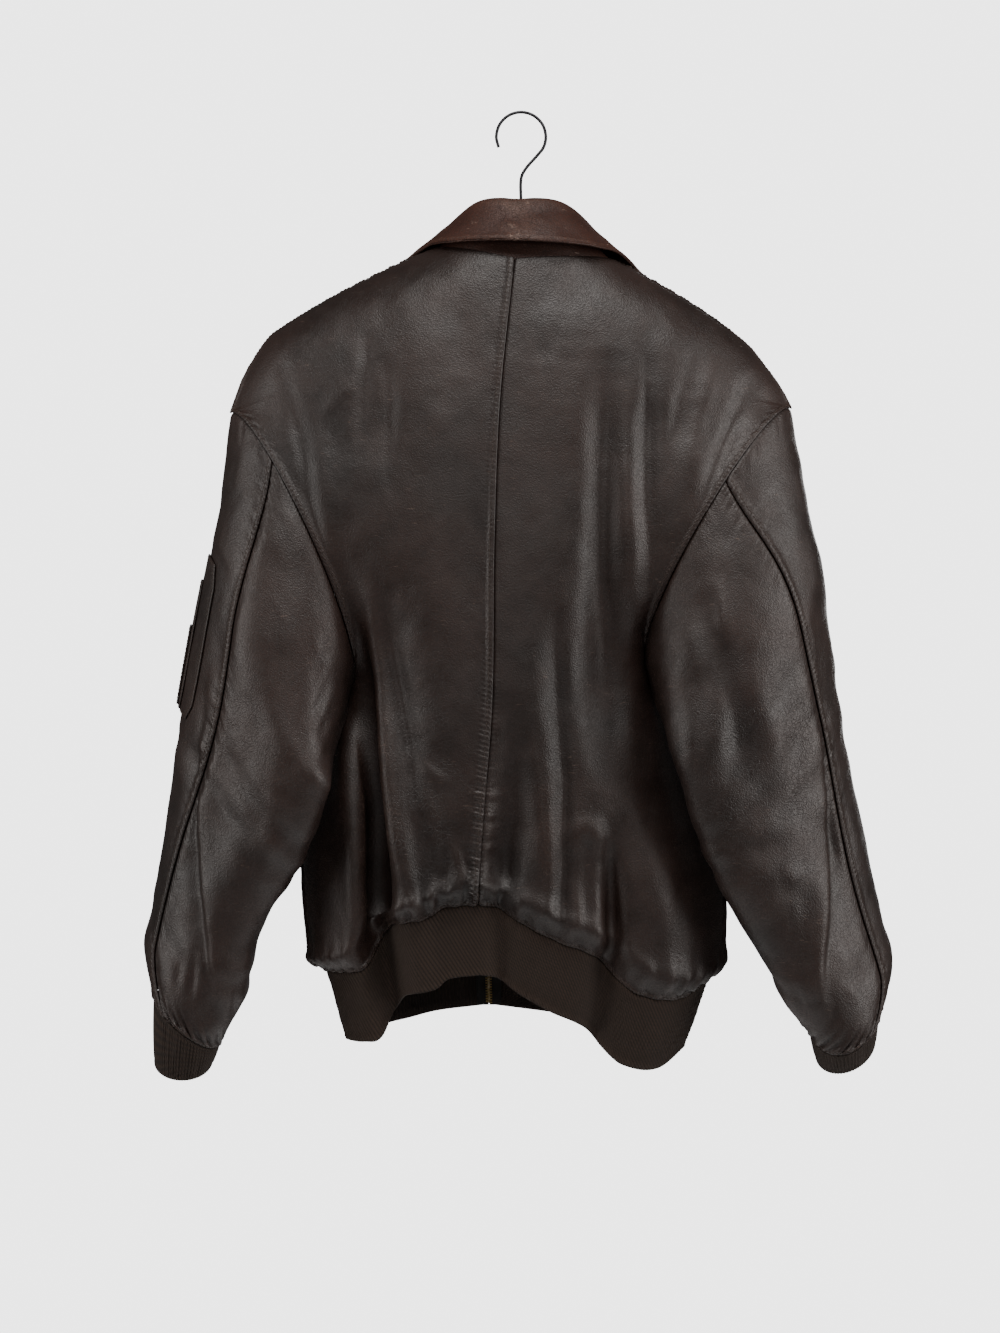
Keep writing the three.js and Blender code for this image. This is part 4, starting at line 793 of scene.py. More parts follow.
# for the knit and the tape, 'dark' is the painted shade in the grooves between ribs and 'light' the colour of
# the rib crests
knitWool = {"dark": (.0105, .0056, .0034, 1), "light": (.034, .0185, .011, 1),
            "ribs": 2 * math.pi / .0034, "loops": 2 * math.pi / .0022}
tapeWeave = {"dark": (.005, .0042, .004, 1), "light": (.014, .011, .01, 1),
             "ribs": 2 * math.pi / .0009, "loops": 2 * math.pi / .0009}
brassAge = {"bright": (.36, .25, .09, 1), "tarnish": (.1, .07, .035, 1), "amount": .8}
wireAge = {"bright": (.05, .05, .055, 1), "tarnish": (.02, .02, .02, 1), "amount": .7}
finish = {
    "hide": material("wornHide", "leather", hide, surfaceMarks, .0004, .75),
    "collar": material("collarHide", "leather", collarHide, surfaceMarks, .0004, .6,
                       **{"Specular IOR Level": .32}),
    "flesh": material("fleshSide", "leather", flesh, (), .0003, .4),
    "thread": material("threadBrown", "leather", threadDark, (), .0001, .3),
    "knit": material("ribKnit", "knit", knitWool, (), .0003, .4, Roughness=.9),
    "tape": material("zipTape", "knit", tapeWeave, (), .0002, .6, Roughness=.9),
    "brass": material("agedBrass", "metal", brassAge, (), .00008, .3, Metallic=1.0),
    "wire": material("hookWire", "metal", wireAge, (), .00006, .3, Metallic=1.0),
    "bar": material("hangerBar", "leather", plainBar, (), .0001, .25),
}
leatherSides = [finish["hide"], finish["flesh"]]
print("materials ready")

# each piece as it is made, and the lines of stitches that it carries

pieces = {}
stitchLines = {}

def keep(obj, node, size, rests, held="hung"):
    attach(obj, "jacket")
    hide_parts(node)
    flat, area = size
    pieces[node] = {"obj": obj, "flat": flat, "area": area, "rests": rests, "held": held}

def sew(node, *lines):
    stitchLines.setdefault(node, []).extend(lines)

def cutSize(mid, tube=False):
    # width, length and area of a panel's cut in metres, measured along its surface
    joined = np.concatenate([mid, mid[:, :1]], 1) if tube else mid
    a = joined[1:, 1:] - joined[:-1, :-1]
    b = joined[1:, :-1] - joined[:-1, 1:]
    area = np.linalg.norm(np.cross(a, b), axis=-1).sum() / 2
    wide = np.linalg.norm(np.diff(joined, axis=1), axis=-1).sum(1).max()
    long = np.linalg.norm(np.diff(joined, axis=0), axis=-1).sum(0).max()
    return (float(wide * mm), float(long * mm)), float(area * mm * mm)

def rubbed(push, times, gain):
    # ridges are rubbed paler than the hollows beside them
    return np.clip(gain * (push - blurred(push, times)), -.2, 1)

def trunkAxis(base):
    # the points of the trunk's upright axis that lie level with each place
    middle, level = np.full(base.shape[:2], float(cut["bandMiddle"])), np.zeros(base.shape[:2])
    return np.stack([middle, level, base[..., 2]], -1)

# body panels

bodyCut = {
    "back": {"face": back, "creases": backCreases, "columns": 250, "rowsLong": 660, "step": 3.0, "seam": 1.2},
    "front": {"face": front, "creases": frontCreases, "columns": 235, "rowsLong": 620, "step": 4.2,
              "seam": 1.4},
}

def bodyPanel(kind, name):
    made, side = bodyCut[kind], sides[name]
    face = made["face"]
    across = spaced(made["columns"], made["step"], made["seam"], made["seam"])
    down = spaced(made["rowsLong"], made["step"], made["seam"], made["seam"])
    base = bodyPlace(side, face, across, down)
    inside = trunkAxis(base)
    n = outward(base, inside)
    d = edgeRuns(base)
    ease = smoothstep(d["end"], 2, 16) * smoothstep(d["bottom"], 3, 26) * smoothstep(d["top"], 1, 12)
    push = -creased(base, made["creases"]) * ease * lerp(.65, 1.0, smoothstep(-base[..., 2], 420, 560))
    ripple = undulate(base, 3 + len(kind), 1.1, 44, 70) + undulate(base, 5, .3, 17, 24)
    push += (ripple + undulate(base, 6, .1, 7, 9)) * ease
    low = smoothstep(-base[..., 2], 470, 640)
    strip = np.zeros(base.shape[:2])
    ladderDown = .3 * (1 - smoothstep(d["end"], 5, 11))
    if kind == "back":
        if name == "left":
            push += lapped(d["start"], 6.2, 1.2) + puckers(d["start"], d["top"], 18, .5, 17) * low
            strip += gauss((d["start"] - 5.2) / 2.2)
            nearSeam = 1 - smoothstep(d["start"], 7, 12)
            ladderDown += (.2 + .8 * low) * smoothstep(d["start"], .8, 2) * nearSeam
        else:
            push += tucked(d["start"]) + .5 * gauss((d["start"] - 2.2) / 1.2)
            push += puckers(d["start"], d["top"] + 4, 16, .6, 19) * low
            ladderDown += .5 * low * (1 - smoothstep(d["start"], 3, 8))
        push += lapped(d["end"], 7.0, 1.0) * smoothstep(d["top"], 0, 9)
        strip += gauss((d["end"] - 6) / 2.5)
    else:
        push += lapped(d["start"], 9, .9) + tucked(d["end"])
        strip += gauss((d["start"] - 7) / 3)
    push += puckers(d["end"], d["top"], 17, .55, 15) * smoothstep(d["end"], .5, 4)
    push += puckers(d["bottom"], d["start"], 30, 1.4, 16) * smoothstep(d["bottom"], 0, 7)
    push += lapped(d["bottom"], 3.6, .9) * smoothstep(d["start"], 1, 5) * smoothstep(d["end"], 1, 5)
    push += tucked(d["top"]) * .5
    ladderAcross = .6 * (1 - smoothstep(d["bottom"], 3, 9))
    mid = base + n * push[..., None]
    wear = rubbed(push, 40, .12) + .12 * strip + .5 * gauss((d["bottom"] - 2.5) / 2.2)
    spot = gauss((base[..., 0] + 92) / 34) * gauss((base[..., 2] + 655) / 90) if kind == "back" else 0 * push
    crackle = np.clip(.22 + .95 * spot + .3 * strip, 0, 1)
    node = f"{kind}_{name}"
    obj, outer, up = shell(node + "_leather", mid, inside, cut["leather"], leatherSides, wear, crackle,
                           ladders=(ladderDown, ladderAcross))
    keep(obj, node, cutSize(base), ["hanger_bar"])
    if kind == "back":
        if name == "left":
            sew(node, besideEdge(outer, up, "start", 4.9))
        sew(node, besideEdge(outer, up, "end", 5.6, .01, .99), besideEdge(outer, up, "bottom", 2.6, .01, .99))
    else:
        sew(node, besideEdge(outer, up, "start", 3.2), besideEdge(outer, up, "start", 7.8),
            besideEdge(outer, up, "bottom", 2.6, .02, .98))

for kind in bodyCut:
    for name in sides:
        bodyPanel(kind, name)
print("body panels done")

# sleeves

sleeveCut = {"step": 2.9, "seam": 1.2, "under": (4, 14), "top": (14, 24), "around": 205, "long": 590}

def sleevePanel(kind, name):
    side = sides[name]
    first, last = sleeveCut[kind]
    steps = sleeveCut["step"], sleeveCut["seam"], sleeveCut["seam"]
    columns = lerp(first, last, spaced(sleeveCut["around"], *steps))
    along = spaced(sleeveCut["long"], *steps)
    grid, alongGrid = np.meshgrid(columns, along)
    angle = sleeveAngle(side, grid, alongGrid)
    base = sleevePlace(side, angle, alongGrid)
    centre = (side["outer"]["along"](alongGrid) + side["inner"]["along"](alongGrid)) / 2
    n = outward(base, centre)
    d = edgeRuns(base)
    edge = np.minimum(d["start"], d["end"])
    ease = smoothstep(edge, 2, 13) * smoothstep(d["top"], 3, 18) * smoothstep(d["bottom"], 3, 18)
    rear, fore = smoothstep(-n[..., 1], .05, .4), smoothstep(n[..., 1], .05, .4)
    push = -creased(base, sleeveCreases[name]) * ease * rear
    push -= creased(base, sleeveFrontCreases[name]) * ease * fore
    ripple = undulate(base, len(kind + name), 1.1, 42, 46) + undulate(base, 8, .34, 16, 19)
    push += (ripple + undulate(base, 9, .11, 7, 8)) * ease
    # the elbow's and the forearm's rings of small folds
    ring = np.sin(alongGrid * 62 + 1.4 * np.sin(angle * 2) + .8 * np.sin(alongGrid * 23))
    push += ring * .9 * ease * (gauss((alongGrid - .52) / .16) + 1.3 * gauss((alongGrid - .93) / .09))
    push += puckers(d["bottom"], d["start"], 26, 1.5, 12) * smoothstep(d["bottom"], 0, 6)
    strip = np.zeros(base.shape[:2])
    if kind == "top":
        push += lapped(edge, 7.5, 1.0) * smoothstep(d["top"], 1, 8)
        strip += gauss((edge - 5.5) / 2.6)
    else:
        push += tucked(edge)
    push += puckers(edge, d["top"], 16, .5, 14) * smoothstep(edge, .5, 4)
    push += tucked(d["top"]) * 1.1 + puckers(d["top"], d["start"], 18, .5, 17) * smoothstep(d["top"], .5, 5)
    push += lapped(d["bottom"], 6, .8) * smoothstep(edge, 1, 6)
    if name == "left":  # smooth under the pocket
        around = np.mod(grid + 10, 20) - 10
        pocket = smoothstep(around, -3.9, -3.3) * (1 - smoothstep(around, 2.9, 3.5))
        pocket = pocket * smoothstep(alongGrid, .21, .235) * (1 - smoothstep(alongGrid, .53, .555))
        push = push * (1 - pocket)
    mid = base + n * push[..., None]
    wear = rubbed(push, 36, .12) + .12 * strip + .4 * gauss((d["bottom"] - 3) / 3)
    wear = wear + .1 * gauss((alongGrid - .45) / .2)
    ladderDown = .35 * (1 - smoothstep(edge, 5, 10))
    ladderAcross = .6 * (1 - smoothstep(d["bottom"], 3, 9)) + .25 * (1 - smoothstep(d["top"], 2, 8))
    crackle = np.clip(.25 + .4 * strip + .3 * gauss((alongGrid - .5) / .2), 0, 1)
    node = f"sleeve_{kind}_{name}"
    obj, outer, up = shell(node + "_leather", mid, centre, cut["leather"], leatherSides, wear, crackle,
                           ladders=(ladderDown, ladderAcross))
    keep(obj, node, cutSize(base), [f"back_{name}", f"front_{name}"])
    if kind == "top":
        sew(node, besideEdge(outer, up, "start", 5.6, .02, .98), besideEdge(outer, up, "end", 5.6, .02, .98))
    sew(node, besideEdge(outer, up, "bottom", 2.8, .03, .97))

for name in sides:
    for kind in ("top", "under"):
        sleevePanel(kind, name)
print("sleeves done")

# collar: a stand that climbs from the neck seam, and a fall that turns over it

collar = {
    "stand": through([(0, 56), (.2, 53), (.4, 41), (.615, 23), (.8, 28), (1, 33)]),
    "level": through([(0, 0), (.2, -7), (.32, -8), (.4, -6), (.5, -1), (.6, -1), (.7, -3), (.8, -6), (1, 0)]),
    "lean": through([(0, 13), (.2, 16), (.4, 22), (.6, 20), (.8, 15), (1, 13)]), "axis": (2, 4),
    "insideDrop": 4, "insideStep": 4.5, "along": 540, "high": 62, "deep": 80, "step": 2.4, "fallStep": 2.2,
    "standDrop": 2.4, "standInset": 1.2, "standBow": 2,
    "rearEdge": [(-94, -14, -132), (-63, -60, -131), (1, -82, -133), (65, -60, -135), (98, -14, -139)],
    "frontEdge": [(.27, .15), (.5, .125), (.7, .09)], "onFront": 6, "swell": (1, 11),
}
collarCreases = [
    ([(470, 203, 0), (500, 214, .9), (530, 212, .9), (566, 204, 0)], 5, 5),
    ([(452, 222, 0), (486, 231, .7), (520, 228, 0)], 4, 4),
    ([(540, 232, 0), (570, 228, .8), (604, 222, 0)], 4, 4),
    ([(505, 205, .5), (517, 218, 1.0), (523, 236, .3)], 3, 3),
]
collarSides = [finish["collar"], finish["collar"]]

def overFront(name, across, row):
    # a point that lies a little way off the front panel
    near = bodyPlace(sides[name], front, [across - .01, across, across + .01], [row - .005, row, row + .005])
    n = unit(np.cross(near[1, 2] - near[1, 0], near[2, 1] - near[0, 1]))
    return near[1, 1] + n * collar["onFront"] * (1 if n[1] > 0 else -1)

leftPoint, rightPoint = ([overFront(name, a, r) for a, r in collar["frontEdge"]] for name in sides)
fallEdge = softLine(np.array(leftPoint + collar["rearEdge"] + rightPoint[::-1]))
neckCurve = roundBody(0.0, 5, 8)

def neckAxis(p):
    # level directions from each point to the neck's axis
    toward = np.zeros(p.shape)
    for k in range(2):
        toward[..., k] = collar["axis"][k] - p[..., k]
    return unit(toward)

def foldAt(share):
    p = neckCurve["at"](share).copy()
    p[..., 2] += collar["stand"](np.abs(2 * share - 1)) + collar["level"](share)
    return p + neckAxis(p) * collar["lean"](np.abs(2 * share - 1))[..., None]

def foldInside(share):
    fold = foldAt(share)
    return fold + neckAxis(fold) * collar["insideStep"] - np.array([0, 0, collar["insideDrop"]])

def collarStand(share):
    up = spaced(collar["high"], collar["step"], 1.0, 1.0)
    base = lerp(neckCurve["at"](share)[None], foldInside(share)[None], up[:, None, None])
    axis = neckAxis(foldAt(share))
    base[..., 2] -= collar["standDrop"] * (1 - up)[:, None]
    base = base + axis[None] * (collar["standInset"] * (1 - up))[:, None, None]
    base = base - axis[None] * (collar["standBow"] * np.sin(np.pi * up))[:, None, None]
    inside = np.stack([np.full(base.shape[:2], float(k)) for k in collar["axis"]] + [base[..., 2] + 4], -1)
    d = edgeRuns(base)
    push = undulate(base, 11, .5, 40, 30) * smoothstep(d["top"], 2, 10) * smoothstep(d["bottom"], 2, 10)
    mid = base + outward(base, inside) * push[..., None]
    wear = rubbed(push, 20, .3) + .15
    obj = shell("collar_stand_leather", mid, inside, cut["leather"], collarSides, wear,
                np.full(push.shape, .5))[0]
    keep(obj, "collar_stand", cutSize(base), ["back_left", "back_right"])

def collarFall(share):
    fold, edge = foldAt(share), fallEdge["at"](share)
    away = -neckAxis(fold)
    swell = lerp(*collar["swell"], np.abs(2 * share - 1) ** 4)[:, None]
    rise = np.array([0, 0, 1.0])
    section = np.stack([
        foldInside(share), fold - away * 2.6 + rise * .5, fold + away * 1.6 + rise * .4,
        lerp(fold, edge, .3) + away * swell, lerp(fold, edge, .65) + away * .75 * swell, edge], 1)
    down = spaced(collar["deep"], collar["fallStep"], 1.0, .8)
    base = np.stack([softLine(s)["at"](down) for s in section], 1)
    d = edgeRuns(base)
    inside = np.broadcast_to(neckCurve["at"](share)[None], base.shape) + np.array([0, 0, 14.0])
    n = outward(base, inside)
    ease = smoothstep(d["top"], 8, 40) * smoothstep(d["start"], 1, 8) * smoothstep(d["end"], 1, 8)
    push = (undulate(base, 12, .9, 44, 26) + undulate(base, 13, .35, 14, 10)) * ease
    push += -creased(base, collarCreases) * ease * smoothstep(-n[..., 1], .05, .4)
    rim = np.minimum(np.minimum(d["bottom"], d["start"]), d["end"])
    push += (-1.0 * gauss((rim - 2.9) / .8) + .5 * gauss((rim - 4.6) / 1.3)) * smoothstep(d["top"], 8, 20)
    push += puckers(d["bottom"], d["start"], 13, .35, 9)
    strip = gauss((rim - 3) / 3) * smoothstep(d["top"], 8, 20)
    spot = gauss((base[..., 0] + 3) / 20) * smoothstep(-base[..., 1], 20, 60)
    wear = rubbed(push, 24, .35) + .28 * strip + .4 * spot + .3 * gauss((d["top"] - 12) / 6)
    crackle = np.clip(.55 + .6 * spot, 0, 1)
    obj = shell("collar_fall_leather", base + n * push[..., None], inside, cut["collarLeaf"], collarSides,
                wear, crackle)[0]
    keep(obj, "collar_fall", cutSize(base), ["collar_stand"])

collarShare = spaced(collar["along"], collar["step"], 1.0, 1.0)
collarStand(collarShare)
collarFall(collarShare)
print("collar done")

# rib-knit waistband and cuffs

ribs = {"pitch": 3.4, "height": .5, "perRib": 4, "step": 3.2, "startStep": 1.2, "endStep": 1.0}
bandCut = {"tuckedUp": 2.4, "longer": 2.7, "swell": .75}
cuffCut = {"around": 235, "long": 52, "start": .024, "swell": .8}
knitSides = [finish["knit"], finish["knit"]]

def ribRows(length):
    return spaced(length, ribs["step"], ribs["startStep"], ribs["endStep"])

def ribWave(run):
    return ribs["height"] * np.sin(2 * np.pi * run / ribs["pitch"])

def waistband():
    hem = roundBody(1.0, 16, 48)
    share = np.linspace(0, 1, 4001)
    run = runAlong(hem["at"](share))
    count = int(run[-1] / ribs["pitch"] * ribs["perRib"])
    columns = np.interp(np.linspace(0, run[-1], count), run, share)
    down = ribRows(cut["bandHeight"])[:, None]
    top = hem["at"](columns)[None]
    middle = cut["bandMiddle"]
    base = np.zeros((len(down), len(columns), 3))
    base[..., 0] = middle + (top[..., 0] - middle) * lerp(1, cut["bandTaperX"], down)
    base[..., 0] += bandCut["swell"] * np.sign(top[..., 0] - middle) * np.sin(np.pi * down)
    base[..., 1] = top[..., 1] * lerp(1, cut["bandTaperY"], down)
    base[..., 2] = top[..., 2] + bandCut["tuckedUp"] - (cut["bandHeight"] + bandCut["longer"]) * down
    inside = trunkAxis(base)
    d = edgeRuns(base)
    held = smoothstep(d["top"], 0, 4) * (1 - .5 * (1 - smoothstep(d["bottom"], 0, 5)))
    push = ribWave(d["start"]) * held + undulate(base, 14, 1.2, 60, 90) * smoothstep(d["top"], 2, 18)
    push += -.4 * gauss((d["bottom"] - 7) / 2.2) - 1.8 * (1 - smoothstep(d["top"], 1, 5))
    mid = base + outward(base, inside) * push[..., None]
    obj = shell("waistband_knit", mid, inside, cut["knit"], knitSides, np.zeros(push.shape), laid=base)[0]
    keep(obj, "waistband", cutSize(base),
         ["back_left", "back_right", "front_left", "front_right"])

def cuff(name):
    side = sides[name]
    count = int(cuffCut["around"] / ribs["pitch"] * ribs["perRib"])
    columns = 10 + 20 * np.arange(count) / count
    down = lerp(cuffCut["start"], 1, ribRows(cuffCut["long"]))[:, None]
    angle = sleeveAngle(side, columns, 1 + 0 * columns)
    top, end = (cuffRing(side[ring], side, angle)[None] for ring in ("cuffTop", "cuffEnd"))
    base = lerp(top, end, down[..., None])
    base[..., 0] += cuffCut["swell"] * np.sin(np.pi * down) * side["sign"] * np.cos(angle)
    base[..., 1] -= cuffCut["swell"] * np.sin(np.pi * down) * np.sin(angle)
    centre = np.broadcast_to(base.mean(1, keepdims=True), base.shape)
    n = unit(np.cross(np.roll(base, -1, 1) - np.roll(base, 1, 1), np.gradient(base, axis=0)))
    n = n if np.sum(n * (base - centre)) > 0 else -n
    d = edgeRuns(base)
    # a whole number of ribs goes round
    run = d["start"][0] * ribs["pitch"] * round(d["start"][0, -1] / ribs["pitch"]) / d["start"][0, -1]
    push = ribWave(run)[None] * smoothstep(d["top"], 0, 4)
    push = push * (1 - .5 * (1 - smoothstep(d["bottom"], 0, 5))) - .4 * gauss((d["bottom"] - 6) / 2)
    obj = shell(f"cuff_{name}_knit", base + n * push[..., None], centre, cut["knit"], knitSides,
                np.zeros(push.shape), tube=True, laid=base)[0]
    keep(obj, f"cuff_{name}", cutSize(base, tube=True),
         [f"sleeve_top_{name}", f"sleeve_under_{name}"])

waistband()
for name in sides:
    cuff(name)
print("knit done")

# zip: tapes, teeth, and the metal slider and pull of the solids

zipper = {"set": 2.2, "edge": .35, "wide": 13, "pitch": 2.5, "tooth": (4.4, 2.5, 1.35), "lowest": 1.25,
          "toothOut": .55, "tipSlim": .72}
toothCorners = [(sx, sy, sz) for sx in (-.5, .5) for sy in (-.5, .5) for sz in (-.5, .5)]
toothFaces = [(0, 1, 3, 2), (4, 6, 7, 5), (0, 4, 5, 1), (2, 3, 7, 6), (0, 2, 6, 4), (1, 5, 7, 3)]

def tapePlace(name, out, row):
    side = sides[name]
    edge = bodyPlace(side, front, [0.0], np.minimum(row, 1))[:, 0]
    low = np.clip((row - 1) / (zipper["lowest"] - 1), 0, 1)[:, None]
    middle = cut["bandMiddle"]
    x = edge[:, :1] + side["sign"] * (lerp(zipper["edge"], zipper["wide"], out)[None] - cut["zipHalfGap"])
    x = middle + (x - middle) * lerp(1, cut["bandTaperX"], low)
    y = edge[:, 1:2] * lerp(1, cut["bandTaperY"], low) - zipper["set"] + 0 * x
    z = edge[:, 2:] - cut["bandHeight"] * low + 0 * x
    return np.stack([x, y, z], -1)

def zipTeeth(name, line):
    sign = sides[name]["sign"]
    run = runAlong(line)
    wide, deep, high = zipper["tooth"]
    start = 2 + (zipper["pitch"] / 2 if sign > 0 else 0)  # the right side's teeth sit between the left side's
    verts, faces = [], []
    for s in np.arange(start, run[-1] - 2, zipper["pitch"]):
        at = pointsAt(s, run, line)
        faces.extend([[len(verts) + k for k in corners] for corners in toothFaces])
        # the tooth grips the tape's edge and reaches past it, its tip a little narrower
        for sx, sy, sz in toothCorners:
            slim = zipper["tipSlim"] if sx < 0 else 1
            reach = sign * (sx * wide + zipper["toothOut"])
            verts.append(at + np.array([reach, sy * deep * slim, sz * high * slim]))
    teeth = meshObject(f"zip_teeth_{name}", verts, faces, [finish["brass"]])
    teeth.data.polygons.foreach_set("use_smooth", np.zeros(len(faces), bool))
    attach(teeth, "jacket")
    return teeth

def zipTape(name):
    row = np.concatenate([np.linspace(0, 1, 220), np.linspace(1, zipper["lowest"], 26)[1:]])
    base = tapePlace(name, np.linspace(0, 1, 7), row)
    inside = base - np.array([0, 60, 0])
    obj = shell(f"zip_tape_{name}_weave", base, inside, cut["tape"], [finish["tape"], finish["tape"]],
                np.zeros(base.shape[:2]))[0]
    keep(obj, f"zip_tape_{name}", cutSize(base), [f"front_{name}"])
    pieces[f"zip_tape_{name}"]["with"] = [zipTeeth(name, tapePlace(name, np.array([0.0]), row)[:, 0])]

for name in sides:
    zipTape(name)
print("zip done")

# sleeve pocket: a patch, a pen strip and an outer pocket, one on another

pocketCut = {"long": 160, "wide": 120, "step": 2.6, "seam": 1.0, "cornerShare": .12, "leather": 1.4,
             "stitches": 3.2}
pocketLayers = {
    "pocket_base": {"columns": (-3, 2.6), "along": (.245, .52), "lift": 2.4, "corner": .35,
                    "on": "sleeve_top_left"},
    "pocket_pen": {"columns": (-1.8, 1.5), "along": (.29, .515), "lift": 4.4, "corner": .12,
                   "on": "pocket_base"},
    "pocket_outer": {"columns": (-1.6, 1.2), "along": (.37, .51), "lift": 6.4, "corner": .12,
                     "on": "pocket_pen"},
}

def pocketLayer(node):
    made, side = pocketLayers[node], sides["left"]
    share, across = (spaced(pocketCut[way], pocketCut["step"], pocketCut["seam"], pocketCut["seam"])
                     for way in ("long", "wide"))
    corner = pocketCut["cornerShare"]
    inset = made["corner"] * np.maximum(0, corner - np.minimum(share, 1 - share))[:, None] / corner
    grid = lerp(made["columns"][0] + inset, made["columns"][1] - inset, across[None])
    along = np.broadcast_to(lerp(*made["along"], share)[:, None], grid.shape)

    def at(column, way):
        return sleevePlace(side, sleeveAngle(side, column, way), way)
    beside = at(grid + .2, along) - at(grid - .2, along)
    below = at(grid, along + .02) - at(grid, along - .02)
    n = unit(np.cross(beside, below))
    centre = (side["outer"]["along"](along) + side["inner"]["along"](along)) / 2
    place = at(grid, along)
    n = n * np.sign(np.sum(n * (place - centre), -1, keepdims=True))
    base = place + n * made["lift"]
    d = edgeRuns(base)
    rim = np.minimum(np.minimum(d["start"], d["end"]), np.minimum(d["top"], d["bottom"]))
    push = -.3 * gauss((rim - 3.4) / .8) - .4 * gauss(rim / .8)
    push += undulate(base, len(node), .2, 30, 30) * smoothstep(rim, 3, 9)
    wear = .2 * gauss((rim - 2) / 2) + rubbed(push, 16, .3)
    obj, outer, up = shell(node + "_leather", base + n * push[..., None], centre, pocketCut["leather"],
                           leatherSides, wear, np.full(push.shape, .3))
    keep(obj, node, cutSize(base), [made["on"]], "laid")
    for edge, low, high in (("start", .03, .97), ("end", .03, .97), ("bottom", .04, .96), ("top", .04, .96)):
        sew(node, besideEdge(outer, up, edge, pocketCut["stitches"], low, high))

for node in pocketLayers:
    pocketLayer(node)
print("pocket done")

# hanger: a round bar under the shoulders and a wire hook

hanger = {
    "left": -226, "right": 202, "radius": 8, "under": 9.2, "crown": (0, -112), "slopeFrom": 200,
    "wire": 1.5, "loop": 23.5, "loopCentre": -22, "loopTurns": [-50, -25, 0, 30, 60, 90, 120, 150, 180, 205],
    "stemTop": -60, "stemBend": [(.4, 0, -60), (5, 0, -51.5)], "stemGap": .3,
}

def rod(name, line, radius, count, look):
    # a round rod along a line in the XZ plane, its flat ends filled by smaller rings
    along = unit(np.gradient(line, axis=0))
    sideways = unit(np.stack([along[:, 2], 0 * along[:, 0], -along[:, 0]], -1))
    caps = [radius * math.cos(a) for a in np.radians([75, 50, 25])]
    widths = caps + [radius] * len(line) + caps[::-1]
    centres, axes = (np.pad(a, ((len(caps), len(caps)), (0, 0)), mode="edge") for a in (line, sideways))
    turn = np.arange(count) * 2 * np.pi / count
    verts = []
    for centre, wide, axis in zip(centres, widths, axes):
        verts.extend(centre + wide * (np.cos(a) * axis + np.sin(a) * np.array([0, 1, 0])) for a in turn)
    last = len(verts) - count
    faces = tubeFaces(0, len(centres), count)
    faces += [list(range(count))[::-1], [last + i for i in range(count)]]
    return meshObject(name, verts, faces, [look])

def hangerPieces():
    left, right = sides["left"], sides["right"]
    (leftX, _, leftZ), (rightX, _, rightZ) = left["neck"], right["neck"]
    far = hanger["slopeFrom"]
    arch = through([(-far, left["ridge"](-far)), (leftX, leftZ), hanger["crown"], (rightX, rightZ),
                    (far, right["ridge"](far))])

    def ridge(x):
        slopes = np.where(x < 0, left["ridge"](x), right["ridge"](x))
        return np.where((x > leftX) & (x < rightX), arch(x), slopes)

    def centre(x):
        slope = (ridge(x + 3) - ridge(x - 3)) / 6
        n = unit(np.stack([-slope, 0 * x, np.ones(x.shape)], -1))
        return np.stack([x, 0 * x, ridge(x)], -1) - n * hanger["under"]
    barLine = centre(np.linspace(hanger["left"], hanger["right"], 150))
    bar = rod("hanger_bar_smooth", barLine, hanger["radius"], 28, finish["bar"])
    foot = float(centre(np.array([0.0]))[0, 2]) + hanger["radius"] + hanger["stemGap"]
    path = [(0, 0, foot), (0, 0, (foot + hanger["stemTop"]) / 2)] + hanger["stemBend"]
    for turn in np.radians(hanger["loopTurns"]):
        up = hanger["loopCentre"] + hanger["loop"] * math.sin(turn)
        path.append((hanger["loop"] * math.cos(turn), 0, up))
    hookLine = softLine(np.array(path))["along"](np.linspace(0, 1, 140))
    hook = rod("hanger_hook_wire", hookLine, hanger["wire"], 16, finish["wire"])
    for obj, node, slot in ((bar, "hanger_bar", "hanger_plastic"), (hook, "hanger_hook", "hook_steel")):
        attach(obj, "jacket")
        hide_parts(node)

hangerPieces()
for node in ("zip_slider", "zip_pull"):
    metal = bpy.data.objects[node]
    metal.data.materials.clear()
    metal.data.materials.append(finish["brass"])

# stitches, then each sewn piece is stated as the sheet it was cut from

for node, lines in stitchLines.items():
    verts, faces = stitchRow(lines)
    row = meshObject(node + "_stitches", verts, faces, [finish["thread"]])
    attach(row, "jacket")
    pieces[node].setdefault("with", []).append(row)
for node, made in pieces.items():
    print(node, "cut", [round(x, 3) for x in made["flat"]], "area", round(made["area"], 4))

# stage: pale floor, soft light, and the camera of the photograph

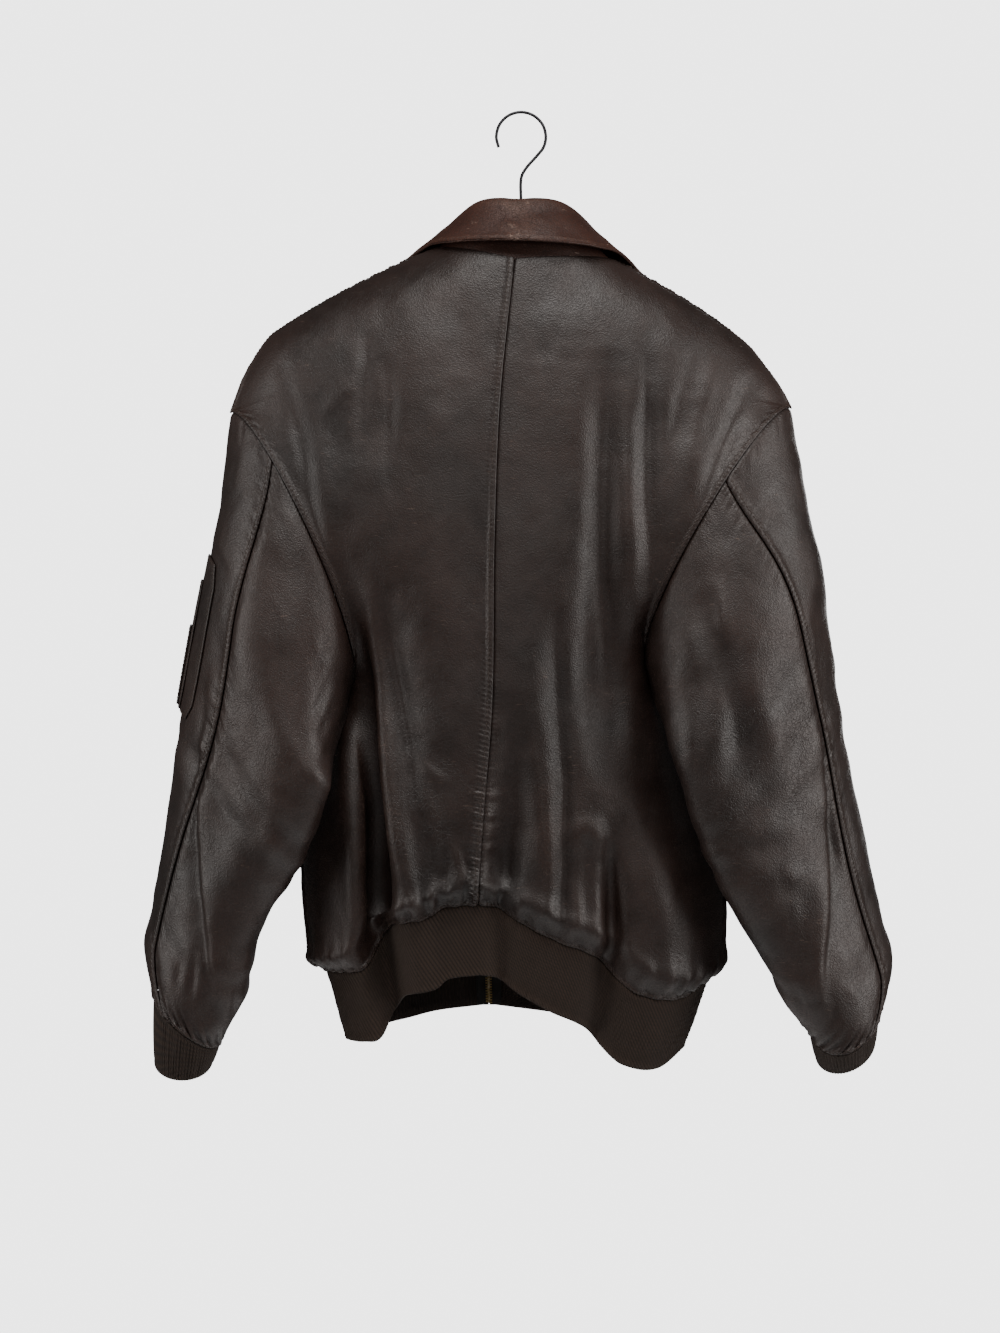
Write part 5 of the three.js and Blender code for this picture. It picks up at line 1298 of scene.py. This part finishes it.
warm = (1, .97, .94)
studio = {
    "floor": {"radius": 1900, "height": -2100, "corners": 96},
    "paleFloor": {"Base Color": (.82, .82, .82, 1), "Roughness": .9, "Emission Color": (1, 1, 1, 1),
                  "Emission Strength": .3},
    "seen": {"Color": (1, 1, 1, 1), "Strength": 3.5}, "around": {"Color": (1, .98, .96, 1), "Strength": .06},
    "lens": 73.93, "eye": (-.02, -2.6, -.525),
}
lights = {  # place, target, size, power and colour
    "keyOverhead": ((.1, -1.2, 1.12), (0, 0, -.3), (2.0, .9), 41, warm),
    "aboveCamera": ((0, -2.7, -.05), (0, 0, -.4), (.8, .4), 6, warm),
    "sideLeft": ((-1.9, -.55, -.25), (-.2, 0, -.6), (1.0, 1.6), 20, warm),
    "sideRight": ((1.9, -.55, -.25), (.2, 0, -.6), (1.0, 1.6), 26, warm),
    "frontSide": ((.5, 2.6, -.1), (0, 0, -.5), (2, 1.4), 30, (1, 1, 1)),
}

pale = bpy.data.materials.new("paleFloor")
pale.use_nodes = True
for key, value in studio["paleFloor"].items():
    pale.node_tree.nodes["Principled BSDF"].inputs[key].default_value = value
disc = studio["floor"]
turn = np.arange(disc["corners"]) * 2 * np.pi / disc["corners"]
rim = np.stack([disc["radius"] * np.cos(turn), disc["radius"] * np.sin(turn), 0 * turn + disc["height"]], -1)
floor = meshObject("floor", rim, [list(range(disc["corners"]))], [pale])

world = bpy.data.worlds.new("studio")
bpy.context.scene.world = world
world.use_nodes = True
tree = world.node_tree
seen = newNode(tree, "ShaderNodeBackground", studio["seen"])
around = newNode(tree, "ShaderNodeBackground", studio["around"])
pick = newNode(tree, "ShaderNodeMixShader")
ray = newNode(tree, "ShaderNodeLightPath")
tree.links.new(ray.outputs["Is Camera Ray"], pick.inputs[0])
tree.links.new(around.outputs[0], pick.inputs[1])
tree.links.new(seen.outputs[0], pick.inputs[2])
tree.links.new(pick.outputs[0], tree.nodes["World Output"].inputs[0])

for name, (place, target, size, power, colour) in lights.items():
    data = bpy.data.lights.new(name, "AREA")
    data.shape = "RECTANGLE"
    data.size, data.size_y = size
    data.energy = power
    data.color = colour
    lamp = bpy.data.objects.new(name, data)
    bpy.context.scene.collection.objects.link(lamp)
    lamp.location = place
    lamp.rotation_euler = (Vector(target) - Vector(place)).to_track_quat("-Z", "Y").to_euler()

eye = bpy.data.cameras.new("camera")
eye.lens = studio["lens"]
camera = bpy.data.objects.new("camera", eye)
bpy.context.scene.collection.objects.link(camera)
camera.location = studio["eye"]
camera.rotation_euler = (math.radians(90), 0, 0)
bpy.context.scene.camera = camera

print("stage ready")
